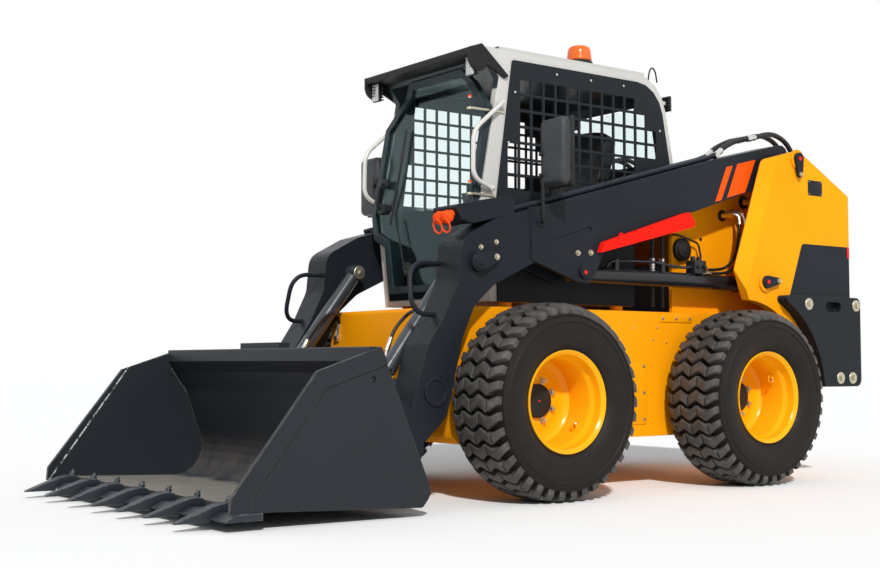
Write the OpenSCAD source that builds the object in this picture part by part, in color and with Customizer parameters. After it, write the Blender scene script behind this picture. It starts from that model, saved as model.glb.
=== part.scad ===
// Skid steer loader with radial lift arms, a toothed bucket and an enclosed cab.
// Millimetres. X points forward, Y to the machine's left and Z up; Z = 0 is the ground.
// Places along X are measured from the middle of the wheelbase and shifted to the
// middle of the overall length when a piece is drawn.

/* [Wheels] */
// Distance between the front and rear axles
wheelbase = 1390; // [1250:1:1550]
// Outside diameter of a tyre over its lugs
tyre_od = 910; // [800:1:1050]
// Width of a tyre
tyre_w = 350; // [310:1:400]
// Space between a tyre and the side of the frame
tyre_clear = 30; // [20:1:60]
// Number of lugs around a tyre
lugs = 28; // [18:1:36]
// Depth of the grooves between the lugs
lug_h = 16; // [8:1:22]
// Diameter of the rim's bead seat
rim_seat_d = 444; // [420:1:460]
// Width between the rim's flanges
rim_w = 280; // [250:1:300]
// Distance from the tyre's middle in to the wheel disc
disc_offset = 75; // [60:1:85]
// Diameter of the wheel bolt circle
wheel_pcd = 203.2; // [190:0.1:215]

/* [Bucket] */
// Width over the side plates
bucket_w = 1880; // [1600:1:2200]
// Reach of the tooth tips in front of the bucket pin
tooth_reach = 1150; // [950:1:1350]
// Thickness of a side plate at its rim
side_t = 18; // [14:1:24]
// Diameter of the tie-down holes in the side plates
tie_hole_d = 26; // [20:1:32]
// Number of teeth
teeth = 7; // [5:1:8]
// Height of the bucket floor above the ground
bucket_lift = 24; // [10:1:60]

/* [Lift arms] */
// Height of the arm pivot above the deck
pivot_rise = 851; // [830:1:870]
// Distance of the arm pivot behind the rear axle
pivot_back = 429; // [415:1:445]
// Width of an arm's box section
arm_w = 175; // [160:1:200]
// Diameter of the pivot pins
pin_d = 60; // [50:1:64]
// Outside diameter of the lift cylinder
lift_bore_d = 80; // [70:1:86]
// Diameter of the lift cylinder's rod
lift_rod_d = 45; // [38:1:50]
// Outside diameter of the tilt cylinder
tilt_bore_d = 75; // [64:1:80]
// Diameter of the tilt cylinder's rod
tilt_rod_d = 40; // [34:1:45]

/* [Frame] */
// Width of the lower frame over the chain cases
frame_w = 1080; // [900:1:1280]
// Width of a chain case
case_w = 180; // [150:1:200]
// Thickness of the belly plate and the front wall
frame_wall = 30; // [20:1:40]
// Height of the lower frame's belly above the ground
belly_z = 258; // [220:1:290]
// Drop of the deck below the tops of the tyres
deck_drop = 15; // [0:1:30]
// Distance from the rear axle to the rear end
rear_overhang = 885; // [860:1:950]
// Thickness of a tower's outer panel
panel_t = 50; // [40:1:60]
// Thickness of a counterweight
weight_t = 68; // [50:1:90]

/* [Cab] */
// Height of the roof's edge above the deck
cab_h = 1260; // [1200:1:1340]
// Pitch of the side screens' openings
screen_pitch = 80; // [70:1:90]
// Width of the bars of the side screens
screen_bar = 13; // [10:1:18]
// Thickness of the side screens
screen_t = 9; // [6:1:12]
// Thickness of the cab door
door_t = 36; // [30:1:44]

/* [Hidden] */
$fn = 48;
gap = 0.3;
pin_r = pin_d / 2;

// Places along X
front = wheelbase / 2;
back = -wheelbase / 2;
rear_x = back - rear_overhang;
tyre_front = front + tyre_od / 2;

// Heights
axle_z = tyre_od / 2;
deck_z = tyre_od - deck_drop;
step_z = belly_z + 232;
cab_floor = deck_z + 30;
roof_z = deck_z + cab_h;

// Places along Y
tyre_y = frame_w / 2 + tyre_clear + tyre_w / 2;
arm_in = frame_w / 2 - 55;
arm_out = arm_in + arm_w;
tower_out = arm_out + 90;
inner_wall = [arm_in - 33, arm_in - 11];
cab_clear = 7;
cab_half = inner_wall[0] - cab_clear - screen_t;
tilt_y = arm_in - 60;

// Pins of the lift and tilt linkages, as [x, z]
pivot = [back - pivot_back, deck_z + pivot_rise];
lift_base = [back - 151, deck_z + 166];
lift_eye = [front - 308, deck_z + 171];
tilt_head = [tyre_front - 165, deck_z + 204];
bucket_pin = [tyre_front + 280, bucket_lift + 261];
tilt_eye = bucket_pin + [60, 155];

tip_x = bucket_pin[0] + tooth_reach;
mid_x = (tip_x + rear_x) / 2;

// Shapes used throughout

function unit(v) = v / norm(v);
function xy(p) = [p[0], p[1]];
function corner_arc(a, b, c, r, n) =
    let (u = unit(a - b), w = unit(c - b), half = acos(u * w) / 2,
         middle = b + unit(u + w) * r / sin(half),
         p = b + u * r / tan(half) - middle, q = b + w * r / tan(half) - middle,
         start = atan2(p[1], p[0]),
         sweep = (atan2(q[1], q[0]) - start + 540) % 360 - 180)
    [for (i = [0:n]) middle + r * [cos(start + sweep * i / n), sin(start + sweep * i / n)]];
// An outline whose third number at a corner is that corner's radius
function rounded(pts, n = 4) = [
    for (i = [0:len(pts) - 1])
        let (a = xy(pts[(i + len(pts) - 1) % len(pts)]), b = pts[i], c = xy(pts[(i + 1) % len(pts)]))
            each (len(b) < 3 ? [xy(b)] : corner_arc(a, xy(b), c, b[2], n))
];
// Mirrors the half outline given for +Y into a closed Y-Z outline
function both_halves(pts) = concat(pts, [for (i = [len(pts) - 1:-1:0]) [-pts[i][0], pts[i][1]]]);

// An X-Z outline between two Y planes
module side_plate(pts, y0, y1) {
    translate([0, y1, 0]) rotate([90, 0, 0]) linear_extrude(y1 - y0) polygon(pts);
}
// A Y-Z outline between two X planes
module front_plate(pts, x0, x1) {
    translate([x0, 0, 0]) rotate([90, 0, 90]) linear_extrude(x1 - x0) polygon(pts);
}
// A cylinder along Y at an [x, z] place
module cross_bar(at, r, y0, y1) {
    translate([at[0], y1, at[1]]) rotate([90, 0, 0]) cylinder(r = r, h = y1 - y0);
}
module both_sides() {
    children();
    mirror([0, 1, 0]) children();
}
module on_side(side) {
    if (side > 0) children();
    else mirror([0, 1, 0]) children();
}
module placed() {
    translate([-mid_x, 0, 0]) children();
}

// The points of a path whose inner corners are bent in steps of about 30 degrees
function bent(points, bend) = [
    for (i = [0:len(points) - 1])
        each (i == 0 || i == len(points) - 1 ? [points[i]]
            : let (u = unit(points[i] - points[i - 1]), w = unit(points[i + 1] - points[i]),
                   turn = acos(u * w), n = max(1, round(turn / 30)),
                   middle = points[i] + unit(w - u) * bend / cos(turn / 2),
                   out = unit(points[i] - u * bend * tan(turn / 2) - middle))
              [for (k = [0:n - 1]) middle + bend / cos(turn / n / 2)
                  * (out * cos(turn * (k + 0.5) / n) + u * sin(turn * (k + 0.5) / n))])
];
// A round bar through a row of points
module rail(points, r, bend) {
    path = bent(points, bend);
    for (i = [0:len(path) - 2]) {
        d = path[i + 1] - path[i];
        translate(path[i]) rotate([0, acos(d[2] / norm(d)), atan2(d[1], d[0])])
            cylinder(r = r, h = norm(d), $fn = 24);
        if (i > 0) translate(path[i]) sphere(r = 1.05 * r, $fn = 16);
    }
}

// Lower frame: chain cases, belly and front wall, open on top

frame_front = front + 385;
frame_lean = 28;
frame_rear = rear_x + 90;
axle_r = 42;
mount_r = 34;

module lower_frame() {
    outline = rounded([[frame_front, belly_z, 50], [frame_front - frame_lean, deck_z, 20],
                       [frame_rear, deck_z],
                       [frame_rear, step_z], [back - 505, step_z, 80], [back - 335, belly_z, 80]]);
    well = [[frame_front - frame_wall, belly_z + frame_wall],
            [frame_front - frame_lean - frame_wall, deck_z + 1],
            [frame_rear - 1, deck_z + 1], [frame_rear - 1, step_z + frame_wall],
            [back - 495, step_z + frame_wall], [back - 325, belly_z + frame_wall]];
    color("orange")
        difference() {
            side_plate(outline, -frame_w / 2, frame_w / 2);
            side_plate(well, case_w - frame_w / 2, frame_w / 2 - case_w);
            for (x = [front, back]) cross_bar([x, axle_z], axle_r + 1, -frame_w, frame_w);
        }
    color("#2c2d2e")
        for (x = [front - 35, back + 605])
            both_sides() translate([x, frame_w / 2 - case_w + 40, deck_z - 1])
                cylinder(r = mount_r, h = cab_floor - deck_z + 1);
}

// Axles

housing_r = 78;
housing_out = frame_w / 2 + tyre_clear + 32;

module axle_housings() {
    color("orange")
        for (x = [front, back])
            both_sides()
                difference() {
                    union() {
                        cross_bar([x, axle_z], housing_r, frame_w / 2, housing_out);
                        cross_bar([x, axle_z], housing_r + 30, frame_w / 2, frame_w / 2 + 14);
                    }
                    cross_bar([x, axle_z], axle_r + gap, frame_w / 2 - 1, housing_out + 1);
                }
}

// Wheels

rim_r = rim_seat_d / 2;
flange_r = rim_r + 14;
rim_t = 9;
well_depth = 18;
bead_half = rim_w / 2;
hub_r = 79;
disc_t = 12;
bolt_d = 17;

// A tyre's section from the bead out to the crown, with slanted grooves between its shoulder lugs
module tyre() {
    r = tyre_od / 2;
    w = tyre_w / 2;
    wall = r - flange_r;
    half = [[rim_r + gap, bead_half - gap], [flange_r + gap, bead_half - gap], [flange_r + 0.42 * wall, w],
            [r - 44, w - 12], [r, w - 78]];
    groove = 15;
    slant = 14;
    color("#2b2a29")
        difference() {
            rotate([90, 0, 0]) rotate_extrude($fn = lugs)
                polygon(concat(half, [for (i = [len(half) - 1:-1:0]) [half[i][0], -half[i][1]]]));
            for (i = [0:lugs - 1], side = [-1, 1])
                rotate([0, (i + side / 4) * 360 / lugs, 0]) translate([-groove / 2, 0, r - lug_h - 16])
                    linear_extrude(2 * lug_h + 16)
                        polygon([[slant, side * 40], [slant + groove, side * 40],
                                 [groove, side * (w + 1)], [0, side * (w + 1)]]);
        }
}

module rim() {
    barrel = [[flange_r, bead_half + 8], [flange_r, bead_half], [rim_r, bead_half], [rim_r, bead_half - 48],
              [rim_r - well_depth, bead_half - 74]];
    liner = [[rim_r - well_depth - rim_t, 70 - bead_half], [rim_r - rim_t, 44 - bead_half],
             [rim_r - rim_t, 8 - bead_half], [flange_r - 8, -bead_half - 8]];
    disc_y = -disc_offset;
    stub = tyre_y - frame_w / 2 + 60;
    color("orange")
        rotate([-90, 0, 0]) {
            difference() {
                union() {
                    rotate_extrude($fn = 96)
                        polygon(concat(barrel, [for (i = [4:-1:0]) [barrel[i][0], -barrel[i][1]]],
                                       [for (i = [3:-1:0]) liner[i]], [for (p = liner) [p[0], -p[1]]]));
                    translate([0, 0, disc_y - disc_t])
                        cylinder(r = rim_r - well_depth - rim_t / 2, h = disc_t, $fn = 96);
                }
                for (i = [0:7])
                    rotate(22.5 + 45 * i) translate([wheel_pcd / 2, 0, disc_y - disc_t - 1])
                        cylinder(d = bolt_d, h = disc_t + 2);
            }
            translate([0, 0, disc_y - 0.5]) cylinder(r = hub_r, h = 22.5);
            translate([0, 0, -stub]) cylinder(r = axle_r, h = stub + disc_y - disc_t / 2);
        }
}

module wheel_at(x, side) {
    translate([x, side * tyre_y, axle_z]) on_side(side) children();
}

// Towers that carry the lift arms

arch_r = tyre_od / 2 + 53;
boss_r = 52;
boss_t = 12;
hinge_r = 6;
rear_hinge_y = inner_wall[0] - 15;
rear_axis = [rear_x + 14, -rear_hinge_y];
rear_hinges = [belly_z + 382, deck_z + 425];

module tower() {
    front_low = [back + 40, deck_z + 225];
    front_high = [back - 193, deck_z + 833];
    lean = atan2(front_low[0] - front_high[0], front_high[1] - front_low[1]);
    rear_high = deck_z + 678;
    outline = rounded([[front_high[0], front_high[1], 50], [pivot[0] - 20, pivot[1] + 50, 60],
                       [rear_x, rear_high, 12],
                       [rear_x, belly_z + 242], [back - 405, belly_z + 242], [back - 50, deck_z + 5],
                       [front_low[0], front_low[1], 25]]);
    wall = rounded([[back + 265, deck_z], [back + 265, deck_z + 395, 30], [back + 95, deck_z + 665, 40],
                    [back + 55, deck_z + 745, 40], [pivot[0] + 50, pivot[1] + 46, 60],
                    [pivot[0] - 40, pivot[1] + 46, 40],
                    [rear_x, rear_high], [rear_x, deck_z]]);
    box_front = rear_x + 270;
    box = [[box_front, deck_z], [box_front, deck_z + 795], [rear_x, rear_high - 13], [rear_x, deck_z]];
    skirt = [[box_front, belly_z + 262], [box_front, deck_z + 1], [rear_x, deck_z + 1],
             [rear_x, belly_z + 262]];
    color("orange")
        difference() {
            union() {
                side_plate(outline, tower_out - panel_t, tower_out);
                side_plate(wall, inner_wall[0], inner_wall[1]);
                side_plate(box, inner_wall[1] - 1, tower_out - panel_t + 1);
                side_plate(skirt, frame_w / 2 + gap, tower_out - panel_t + 1);
                for (p = [pivot, lift_base]) cross_bar(p, boss_r, tower_out - 1, tower_out + boss_t);
            }
            cross_bar([back, axle_z], arch_r, frame_w / 2, tower_out + 20);
            for (p = [pivot, lift_base]) cross_bar(p, pin_r + gap, inner_wall[0] - 1, tower_out + 20);
            translate([front_low[0], tower_out, front_low[1]]) rotate([0, -lean, 0])
                translate([0, 0, -200]) linear_extrude(1100)
                    polygon([[30, 1], [-78, 1], [30, -62]]);
        }
}
module towers() {
    both_sides() tower();
    color("orange")
        for (z = rear_hinges) {
            translate([rear_axis[0], rear_axis[1], z - 12]) cylinder(r = hinge_r, h = 84);
            for (dz = [-14, 62])
                translate([rear_axis[0] - 8, -inner_wall[0] - 1, z + dz]) cube([16, 24, 10]);
        }
}

keeper_t = 14.5;
module pivot_pins() {
    color("#33373b")
        both_sides()
            for (p = [[pivot, -95], [lift_base, 175]]) {
                cross_bar(p[0], pin_r, inner_wall[0], tower_out + boss_t + 1);
                translate([p[0][0], tower_out + boss_t + keeper_t + 0.5, p[0][1]]) rotate([90, 0, 0])
                    keeper(p[1]);
            }
}
// Keeper plate of a pin, pointing along an angle
module keeper(angle) {
    linear_extrude(keeper_t) rotate(angle) {
        circle(r = 34);
        translate([86, 0]) circle(r = 18);
        polygon([[0, -34], [86, -18], [86, 18], [0, 34]]);
    }
}

// Counterweights bolted to the sides of the towers

weight_arch_r = tyre_od / 2 + 110;
weight_bolts = [[back - 434, deck_z + 55], [rear_x + 37, deck_z + 55],
                [rear_x + 185, belly_z + 291], [rear_x + 77, belly_z + 291]];

module counterweight() {
    outline = rounded([[back - 240, deck_z + 99, 20], [rear_x, deck_z + 99, 36],
                       [rear_x, belly_z + 244, 40],
                       [back - 485, belly_z + 244]]);
    outer = tower_out + weight_t;
    color("#353a40")
        difference() {
            side_plate(outline, tower_out, outer);
            cross_bar([back, axle_z], weight_arch_r, tower_out - 1, outer + 1);
            for (y = [1, 2])
                cross_bar([back, axle_z], weight_arch_r + 22, tower_out + y * weight_t / 3 - 3,
                          tower_out + y * weight_t / 3 + 3);
            for (p = weight_bolts) cross_bar(p, 26, outer - 8, outer + 1);
            hull()
                for (x = [-40, 40]) cross_bar([rear_x + 240 + x, deck_z + 43], 28, outer - 40, outer + 1);
        }
}
module counterweights() {
    both_sides() counterweight();
}

// Engine and its cover

hood_half = inner_wall[0];
louvre_pitch = 34;

module hood() {
    ridge = [back - 435, deck_z + 795];
    tail = [rear_x + 82, deck_z + 625];
    fall = (ridge[1] - tail[1]) / (ridge[0] - tail[0]);
    skin = [[back + 183, deck_z + 695], [back + 183, deck_z + 735], [back - 25, ridge[1]], ridge, tail,
            [tail[0], tail[1] - 44], [ridge[0] + 8, ridge[1] - 44], [back - 29, ridge[1] - 44]];
    color("orange")
        difference() {
            union() {
                side_plate(skin, -hood_half, hood_half);
                translate([back + 85, hood_half - 80, deck_z + 745]) cylinder(r = 46, h = 48);
            }
            for (i = [0:7])
                translate([ridge[0] - 60 - louvre_pitch * i, 0, ridge[1] - 50 - fall * louvre_pitch * i])
                    cube([16, 2 * hood_half - 344, 120], center = true);
        }
}

module engine() {
    half = frame_w / 2 - case_w - 60;
    floor_z = belly_z + frame_wall + 100;
    color("#4a4d50")
        side_plate([[back + 55, floor_z], [back + 55, deck_z + 285], [frame_rear + 60, deck_z + 285],
                    [frame_rear + 60, step_z + frame_wall], [back - 455, step_z + frame_wall],
                    [back - 295, floor_z]],
                   -half, half);
}

// Cab frame

cab_wall = 40;
door_half = [cab_half - 161, cab_half - 46];
rear_glass = rounded([[86 - cab_half, deck_z + 815, 40], [86 - cab_half, roof_z - 125, 40],
                      [cab_half - 86, roof_z - 125, 40], [cab_half - 86, deck_z + 815, 40]]);
// The cab's front line, moved back by a depth
function front_line(depth) = [[front + 90 - depth, cab_floor], [front + 143 - depth, deck_z + 505, 80],
                              [front + 27 - depth, roof_z - 140, 20]];
door_axis = [front + 198, cab_half - 11];
// Each hinge: its height, where its leaf leaves the door, and where its strap leaves the pillar
hinge_places = [[deck_z + 535, front + 153, front + 58], [roof_z - 315, front + 78, front - 5]];
knuckle_r = 15;

module cab_frame() {
    outline = rounded(concat(front_line(0), [[front + 140, roof_z, 14], [back + 297, roof_z, 220],
                      [back + 195, deck_z + 745], [back + 195, deck_z + 445, 20],
                      [back + 515, deck_z + 445],
                      [back + 515, cab_floor]]));
    room = rounded([[front + 205, cab_floor + 30], [front + 205, roof_z - 85],
                    [front - 55, roof_z - 50, 20],
                    [back + 317, roof_z - 50, 185], [back + 233, deck_z + 745],
                    [back + 233, deck_z + 485, 20],
                    [back + 553, deck_z + 485], [back + 553, cab_floor + 30]]);
    window = rounded([[front - 90, roof_z - 73, 30], [back + 343, roof_z - 73, 170],
                      [back + 270, deck_z + 795, 20],
                      [back + 270, deck_z + 515, 20], [back + 490, deck_z + 515],
                      [back + 490, deck_z + 90, 20],
                      [front - 5, deck_z + 90, 20], [front + 11, deck_z + 505]]);
    doorway = both_halves([[door_half[0], deck_z + 90], [door_half[0], deck_z + 355],
                           [door_half[1], deck_z + 410],
                           [door_half[1], roof_z - 305], [door_half[1] - 190, roof_z - 65]]);
    color("#c9c6bd") {
        difference() {
            side_plate(outline, -cab_half, cab_half);
            side_plate(room, cab_wall - cab_half, cab_half - cab_wall);
            side_plate(window, -cab_half - 1, cab_half + 1);
            front_plate(doorway, front - 75, front + 205);
            front_plate(rear_glass, back + 95, back + 315);
        }
        translate([back + 395, 26 - cab_half, roof_z - 1]) cube([wheelbase - 390, 2 * cab_half - 52, 21]);
        both_sides() translate([back + 195, cab_half - 91, roof_z - 125]) cube([115, 30, 20]);
    }
}

// Perforated side panels

module side_screen() {
    outline = rounded([[front - 55, roof_z - 45, 12], [back + 323, roof_z - 45, 190],
                       [back + 240, deck_z + 795, 10],
                       [back + 240, deck_z + 470, 10], [back + 515, deck_z + 435], [back + 515, cab_floor],
                       [front + 43, cab_floor], [front + 50, deck_z + 505, 60]]);
    cell = screen_pitch - screen_bar;
    top = roof_z - 136;
    split_z = roof_z - 450;
    rows = floor((top - deck_z - 490) / screen_pitch);
    // The rear end of a row of openings, which steps back below the roof's round corner
    function row_end(z) = z > split_z ? max(back + 340, back + 501 - (top - z)) : back + 500;
    color("#33373c")
        difference() {
            side_plate(outline, cab_half, cab_half + screen_t);
            for (row = [0:rows - 1]) {
                z = top - screen_pitch * row;
                first = front - (z > split_z ? 101 : 21);
                for (x = [first:-screen_pitch:row_end(z) + cell - 1])
                    translate([x - cell, cab_half - 10, z - cell]) cube([cell, screen_t + 20, cell]);
            }
        }
}
module side_screens() {
    both_sides() side_screen();
}

module rear_window() {
    color("#8fa6a8", 0.5) front_plate(rear_glass, back + 217, back + 225);
}

// Visor over the door, with its lamps

lamp_drop = 51;
lamp_h = 95;

module visor() {
    brow = rounded([[front + 142, roof_z + 2], [front + 222, roof_z - 20, 8],
                    [front + 216, roof_z - lamp_drop, 6],
                    [front + 101, roof_z - lamp_drop]]);
    cheek = rounded([[front + 141, roof_z + 8], [front + 222, roof_z - 20, 8],
                     [front + 216, roof_z - lamp_drop, 6],
                     [front + 155, roof_z - 70], [front - 5, roof_z - 143, 6],
                     [front - 27, roof_z - 131, 6]]);
    color("#2c2a29") {
        side_plate(brow, -cab_half - 1, cab_half + 1);
        both_sides() side_plate(cheek, cab_half + 0.5, cab_half + 14);
    }
}

module work_lamps() {
    color("#8b8e90")
        both_sides() {
            translate([front + 145, cab_half - 63, roof_z - lamp_drop - lamp_h - gap])
                cube([44, 62, lamp_h]);
            translate([back + 155, cab_half - 107, roof_z - 157]) cube([40, 62, 84]);
        }
}

module beacon() {
    color("#e8641c")
        translate([front - 597, cab_half - 101, roof_z + 20]) {
            cylinder(r = 70, h = 18);
            translate([0, 0, 17]) cylinder(r1 = 66, r2 = 58, h = 70);
            translate([0, 0, 86]) cylinder(r1 = 58, r2 = 40, h = 14);
        }
}

// Inside the cab

seat_front = back + 985;
seat_z = deck_z + 279;

module seat() {
    half = cab_half - 191;
    base_back = back + 560;
    color("#2a2b2d") {
        translate([base_back + 35, 95 - half, cab_floor + 30])
            cube([310, 2 * half - 190, seat_z - cab_floor - 20]);
        side_plate(rounded([[base_back, seat_z, 20], [base_back, seat_z + 215],
                            [back + 395, deck_z + 955, 50], [back + 490, deck_z + 970, 40],
                            [base_back + 100, seat_z + 122], [seat_front, seat_z + 136, 50],
                            [seat_front, seat_z, 30]]), -half, half);
    }
}

module controls() {
    console_in = cab_half - 161;
    stick = [front - 395, cab_half - 111, deck_z + 485];
    color("#2f3133")
        both_sides() {
            side_plate(rounded([[back + 635, deck_z + 165, 20], [back + 635, deck_z + 435, 30],
                                [front - 365, deck_z + 505, 40],
                                [front - 315, deck_z + 435, 30], [front - 365, deck_z + 165, 20]]),
                                    console_in, cab_half - 61);
            translate(stick) rotate([0, 8, 0]) {
                cylinder(r = 16, h = 110);
                translate([0, 0, 90]) cylinder(r1 = 20, r2 = 28, h = 90);
            }
            translate([back + 775, console_in + 35, cab_floor + 30])
                cube([160, 60, deck_z + 166 - cab_floor - 30]);
        }
}

// Rails to hold when climbing in, one on each side of the door

module grab_bars() {
    y = cab_half + 28;
    top = [front + 27, roof_z - 270];
    foot = [front + 95, deck_z + 569];
    color("#cfccc4")
        both_sides() {
            rail([[top[0], y, top[1]], [front + 205, y, top[1] - 151], [front + 209, y, foot[1] + 44],
                  [foot[0], y, foot[1]]], 11, 40);
            for (p = [top, foot]) cross_bar(p, 14, cab_half, y + 12);
        }
}

// Straps on the left pillar, with the pins that carry the door

module door_hinges() {
    color("#b5ad90")
        for (h = hinge_places) {
            translate([h[2], cab_half, h[0]]) cube([door_axis[0] - h[2], 8, 10]);
            translate([door_axis[0], door_axis[1], h[0]]) cylinder(r = knuckle_r - 1, h = 10);
            translate([door_axis[0], door_axis[1], h[0] + 9]) cylinder(r = 8, h = 50);
        }
}

// Lift arms with their front cross tube

bracket_t = 20;
ring_t = 10;
cross_tube = [tyre_front + 120, bucket_pin[1] + 220];
// A place on an arm's leg: ahead of the tyre, and a share of the way from the bucket pin up to the knee
function leg(ahead, share) = [tyre_front + ahead, bucket_pin[1] + share * (deck_z + 109 - bucket_pin[1])];
function leg_corner(ahead, share, r) = concat(leg(ahead, share), [r]);

module arm() {
    outline = rounded([[pivot[0] - 60, pivot[1] + 108, 60], [back + 135, deck_z + 807],
                       [tyre_front - 220, deck_z + 397, 120],
                       [tyre_front - 28, deck_z + 295, 90], leg_corner(-10, 1, 120),
                       leg_corner(68, 0.78, 150),
                       leg_corner(160, 0.59, 80), leg_corner(252, 0.18, 60), leg_corner(340, 0.02, 40),
                       leg_corner(300, -0.1, 60), leg_corner(216, -0.05, 30), leg_corner(58, 0.153, 60),
                       leg_corner(22, 0.338, 100), leg_corner(-26, 0.62, 120), leg_corner(-98, 0.84, 120),
                       leg_corner(-215, 0.98, 100), [front + 5, deck_z + 203, 60],
                           [front - 135, deck_z + 235],
                       [front - 473, deck_z + 320], [back - 67, deck_z + 636],
                       [pivot[0] - 20, pivot[1] - 110, 90]]);
    bracket = rounded([[front + 20, deck_z + 465, 10], [front + 20, deck_z + 217, 20],
                       [front - 265, deck_z + 127, 30],
                       [front - 345, deck_z + 121, 36], [front - 403, deck_z + 195, 30],
                       [front - 467, deck_z + 330, 20],
                       [front - 490, deck_z + 525, 40], [front - 395, deck_z + 555, 30]]);
    color("#353a40")
        difference() {
            union() {
                side_plate(outline, arm_in, arm_out);
                side_plate(bracket, arm_out - bracket_t, arm_out + 8);
                side_plate(bracket, arm_in, arm_in + bracket_t);
                cross_bar(bucket_pin, 72, arm_in, arm_out);
                cross_bar(cross_tube, 64, arm_out - 1, arm_out + ring_t);
            }
            cross_bar(cross_tube, 50, arm_out + 2, arm_out + 20);
            hull() {
                cross_bar([front - 135, deck_z + 307], 20, arm_out + 1, arm_out + 20);
                cross_bar([front - 348, deck_z + 377], 20, arm_out + 1, arm_out + 20);
            }
            cross_bar(pivot, pin_r + gap, arm_in - 1, arm_out + 1);
            cross_bar(tilt_head, pin_r - 4, arm_in - 1, arm_out + 1);
            cross_bar(bucket_pin, pin_r - 4, arm_in - 1, arm_out + 1);
            cross_bar(lift_eye, pin_r - 2, arm_in - 1, arm_in + bracket_t);
            cross_bar(lift_eye, pin_r - 2, arm_out - bracket_t, arm_out + 9);
        }
}
module lift_arms() {
    both_sides() arm();
    color("#353a40") cross_bar(cross_tube, 57, -arm_in - 1, arm_in + 1);
}

// Pins carried by the arms

eye_half = 30;
ear_out = arm_out + 44;

module arm_pins() {
    color("#8d8f91")
        both_sides() {
            cross_bar(tilt_head, pin_r - 4, tilt_y - eye_half - 12, arm_out + 26);
            cross_bar(bucket_pin, pin_r - 4, arm_in - 24, ear_out);
            cross_bar(lift_eye, pin_r - 2, arm_in, arm_in + bracket_t);
            cross_bar(lift_eye, pin_r - 2, arm_out - bracket_t, arm_out + 22);
        }
}

module arm_handles() {
    top_z = deck_z + 190;
    low_z = leg(0, 0.784)[1];
    color("#353a40")
        both_sides()
            difference() {
                rail([[tyre_front - 30, arm_in + 20, top_z], [tyre_front + 112, arm_in + 25, top_z],
                      [tyre_front + 162, arm_in + 37, top_z - 50], [tyre_front + 176, arm_in + 67, low_z + 49],
                      [tyre_front + 140, arm_in + 87, low_z], [tyre_front + 58, arm_in + 90, low_z]], 11, 40);
                arm();
            }
}

// Cover over the hose ends on top of the left arm
cover_face = [[tyre_front - 29, deck_z + 382], [tyre_front + 14, deck_z + 445]];
module hose_covers() {
    outline = rounded([[tyre_front - 95, deck_z + 369], cover_face[0], concat(cover_face[1], [12]),
                       [tyre_front - 300, deck_z + 510, 20], [tyre_front - 335, deck_z + 500, 12],
                       [tyre_front - 335, deck_z + 429]]);
    color("#353a40") side_plate(outline, arm_in + 1, arm_out);
}

// Pipes along the top of the arms and their hoses to the towers
pipe_r = 13;
module arm_pipes() {
    color("#2e3237")
        both_sides()
            for (y = [arm_in + 50, arm_in + 120])
                rail([[tyre_front - 344, y, deck_z + 445], [back + 175, y, deck_z + 809.9],
                      [back - 5, y, deck_z + 895],
                      [back - 205, y, deck_z + 955], [pivot[0] + 70, y, pivot[1] + 134]], pipe_r, 120);
}

module hydraulic_couplings() {
    d = cover_face[1] - cover_face[0];
    middle = cover_face[0] + d / 2;
    color("#e0431f")
        for (y = [arm_in + 70, arm_in + 130])
            translate([middle[0], y, middle[1]]) rotate([0, 90 + atan2(d[0], d[1]), 0]) {
                translate([0, 0, gap]) cylinder(r = 17, h = 20);
                translate([0, 0, 19]) cylinder(r = 26, h = 34);
            }
}

module arm_lock() {
    color("#f0281e") {
        side_plate(rounded([[front - 397, deck_z + 271], [front - 419, deck_z + 323, 20],
                            [back + 375, deck_z + 510, 20],
                            [back + 323, deck_z + 450, 20], [back + 345, deck_z + 433, 10]]),
                                arm_out + 8.3, arm_out + 44);
        for (p = [[back + 405, deck_z + 475], [front - 565, deck_z + 365]])
            cross_bar(p, 14, arm_out, arm_out + 9);
    }
}

module mirrors() {
    foot = [front - 40, deck_z + 395];
    color("#2b2c2d")
        both_sides() {
            side_plate(rounded([[front - 88, deck_z + 554, 20], [front - 88, deck_z + 883, 30],
                                [front - 12, deck_z + 883, 30],
                                [front - 12, deck_z + 554, 20]]), arm_out + 15, arm_out + 195);
            rail([[foot[0] - 5, arm_out + 104, deck_z + 558], [foot[0], arm_out + 55, foot[1]],
                  [foot[0], arm_out + 8, foot[1]]], 9, 20);
        }
}

// Hydraulic cylinders

lift_y = (arm_in + arm_out) / 2;
lift_mouth = 75;
tilt_mouth = 200;
module along(from, to, y) {
    d = to - from;
    translate([from[0], y, from[1]]) rotate([0, atan2(d[0], d[1]), 0]) children();
}
module barrel(from, to, y, od, rod, mouth, eye) {
    length = norm(to - from);
    color("#353a40")
        difference() {
            union() {
                cross_bar(from, eye + 16, y - eye_half, y + eye_half);
                along(from, to, y) translate([0, 0, eye + 5])
                    cylinder(d = od, h = length - mouth - eye - 5);
                along(from, to, y) translate([0, 0, length - mouth - 40]) cylinder(d = od + 8, h = 40);
            }
            cross_bar(from, eye + gap, y - eye_half - 1, y + eye_half + 1);
            along(from, to, y) translate([0, 0, eye + 30]) cylinder(d = rod + 2 * gap, h = length);
        }
}
module rod(from, to, y, d, inside, eye) {
    length = norm(to - from);
    color("#b9bcc0")
        difference() {
            union() {
                along(from, to, y) translate([0, 0, inside]) cylinder(d = d, h = length - inside);
                cross_bar(to, eye + 14, y - eye_half, y + eye_half);
            }
            cross_bar(to, eye, y - eye_half - 1, y + eye_half + 1);
        }
}
module lift_barrel(side) {
    on_side(side) barrel(lift_base, lift_eye, lift_y, lift_bore_d, lift_rod_d, lift_mouth, pin_r);
}
module lift_rod(side) {
    on_side(side) rod(lift_base, lift_eye, lift_y, lift_rod_d, 103, pin_r - 2);
}
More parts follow.
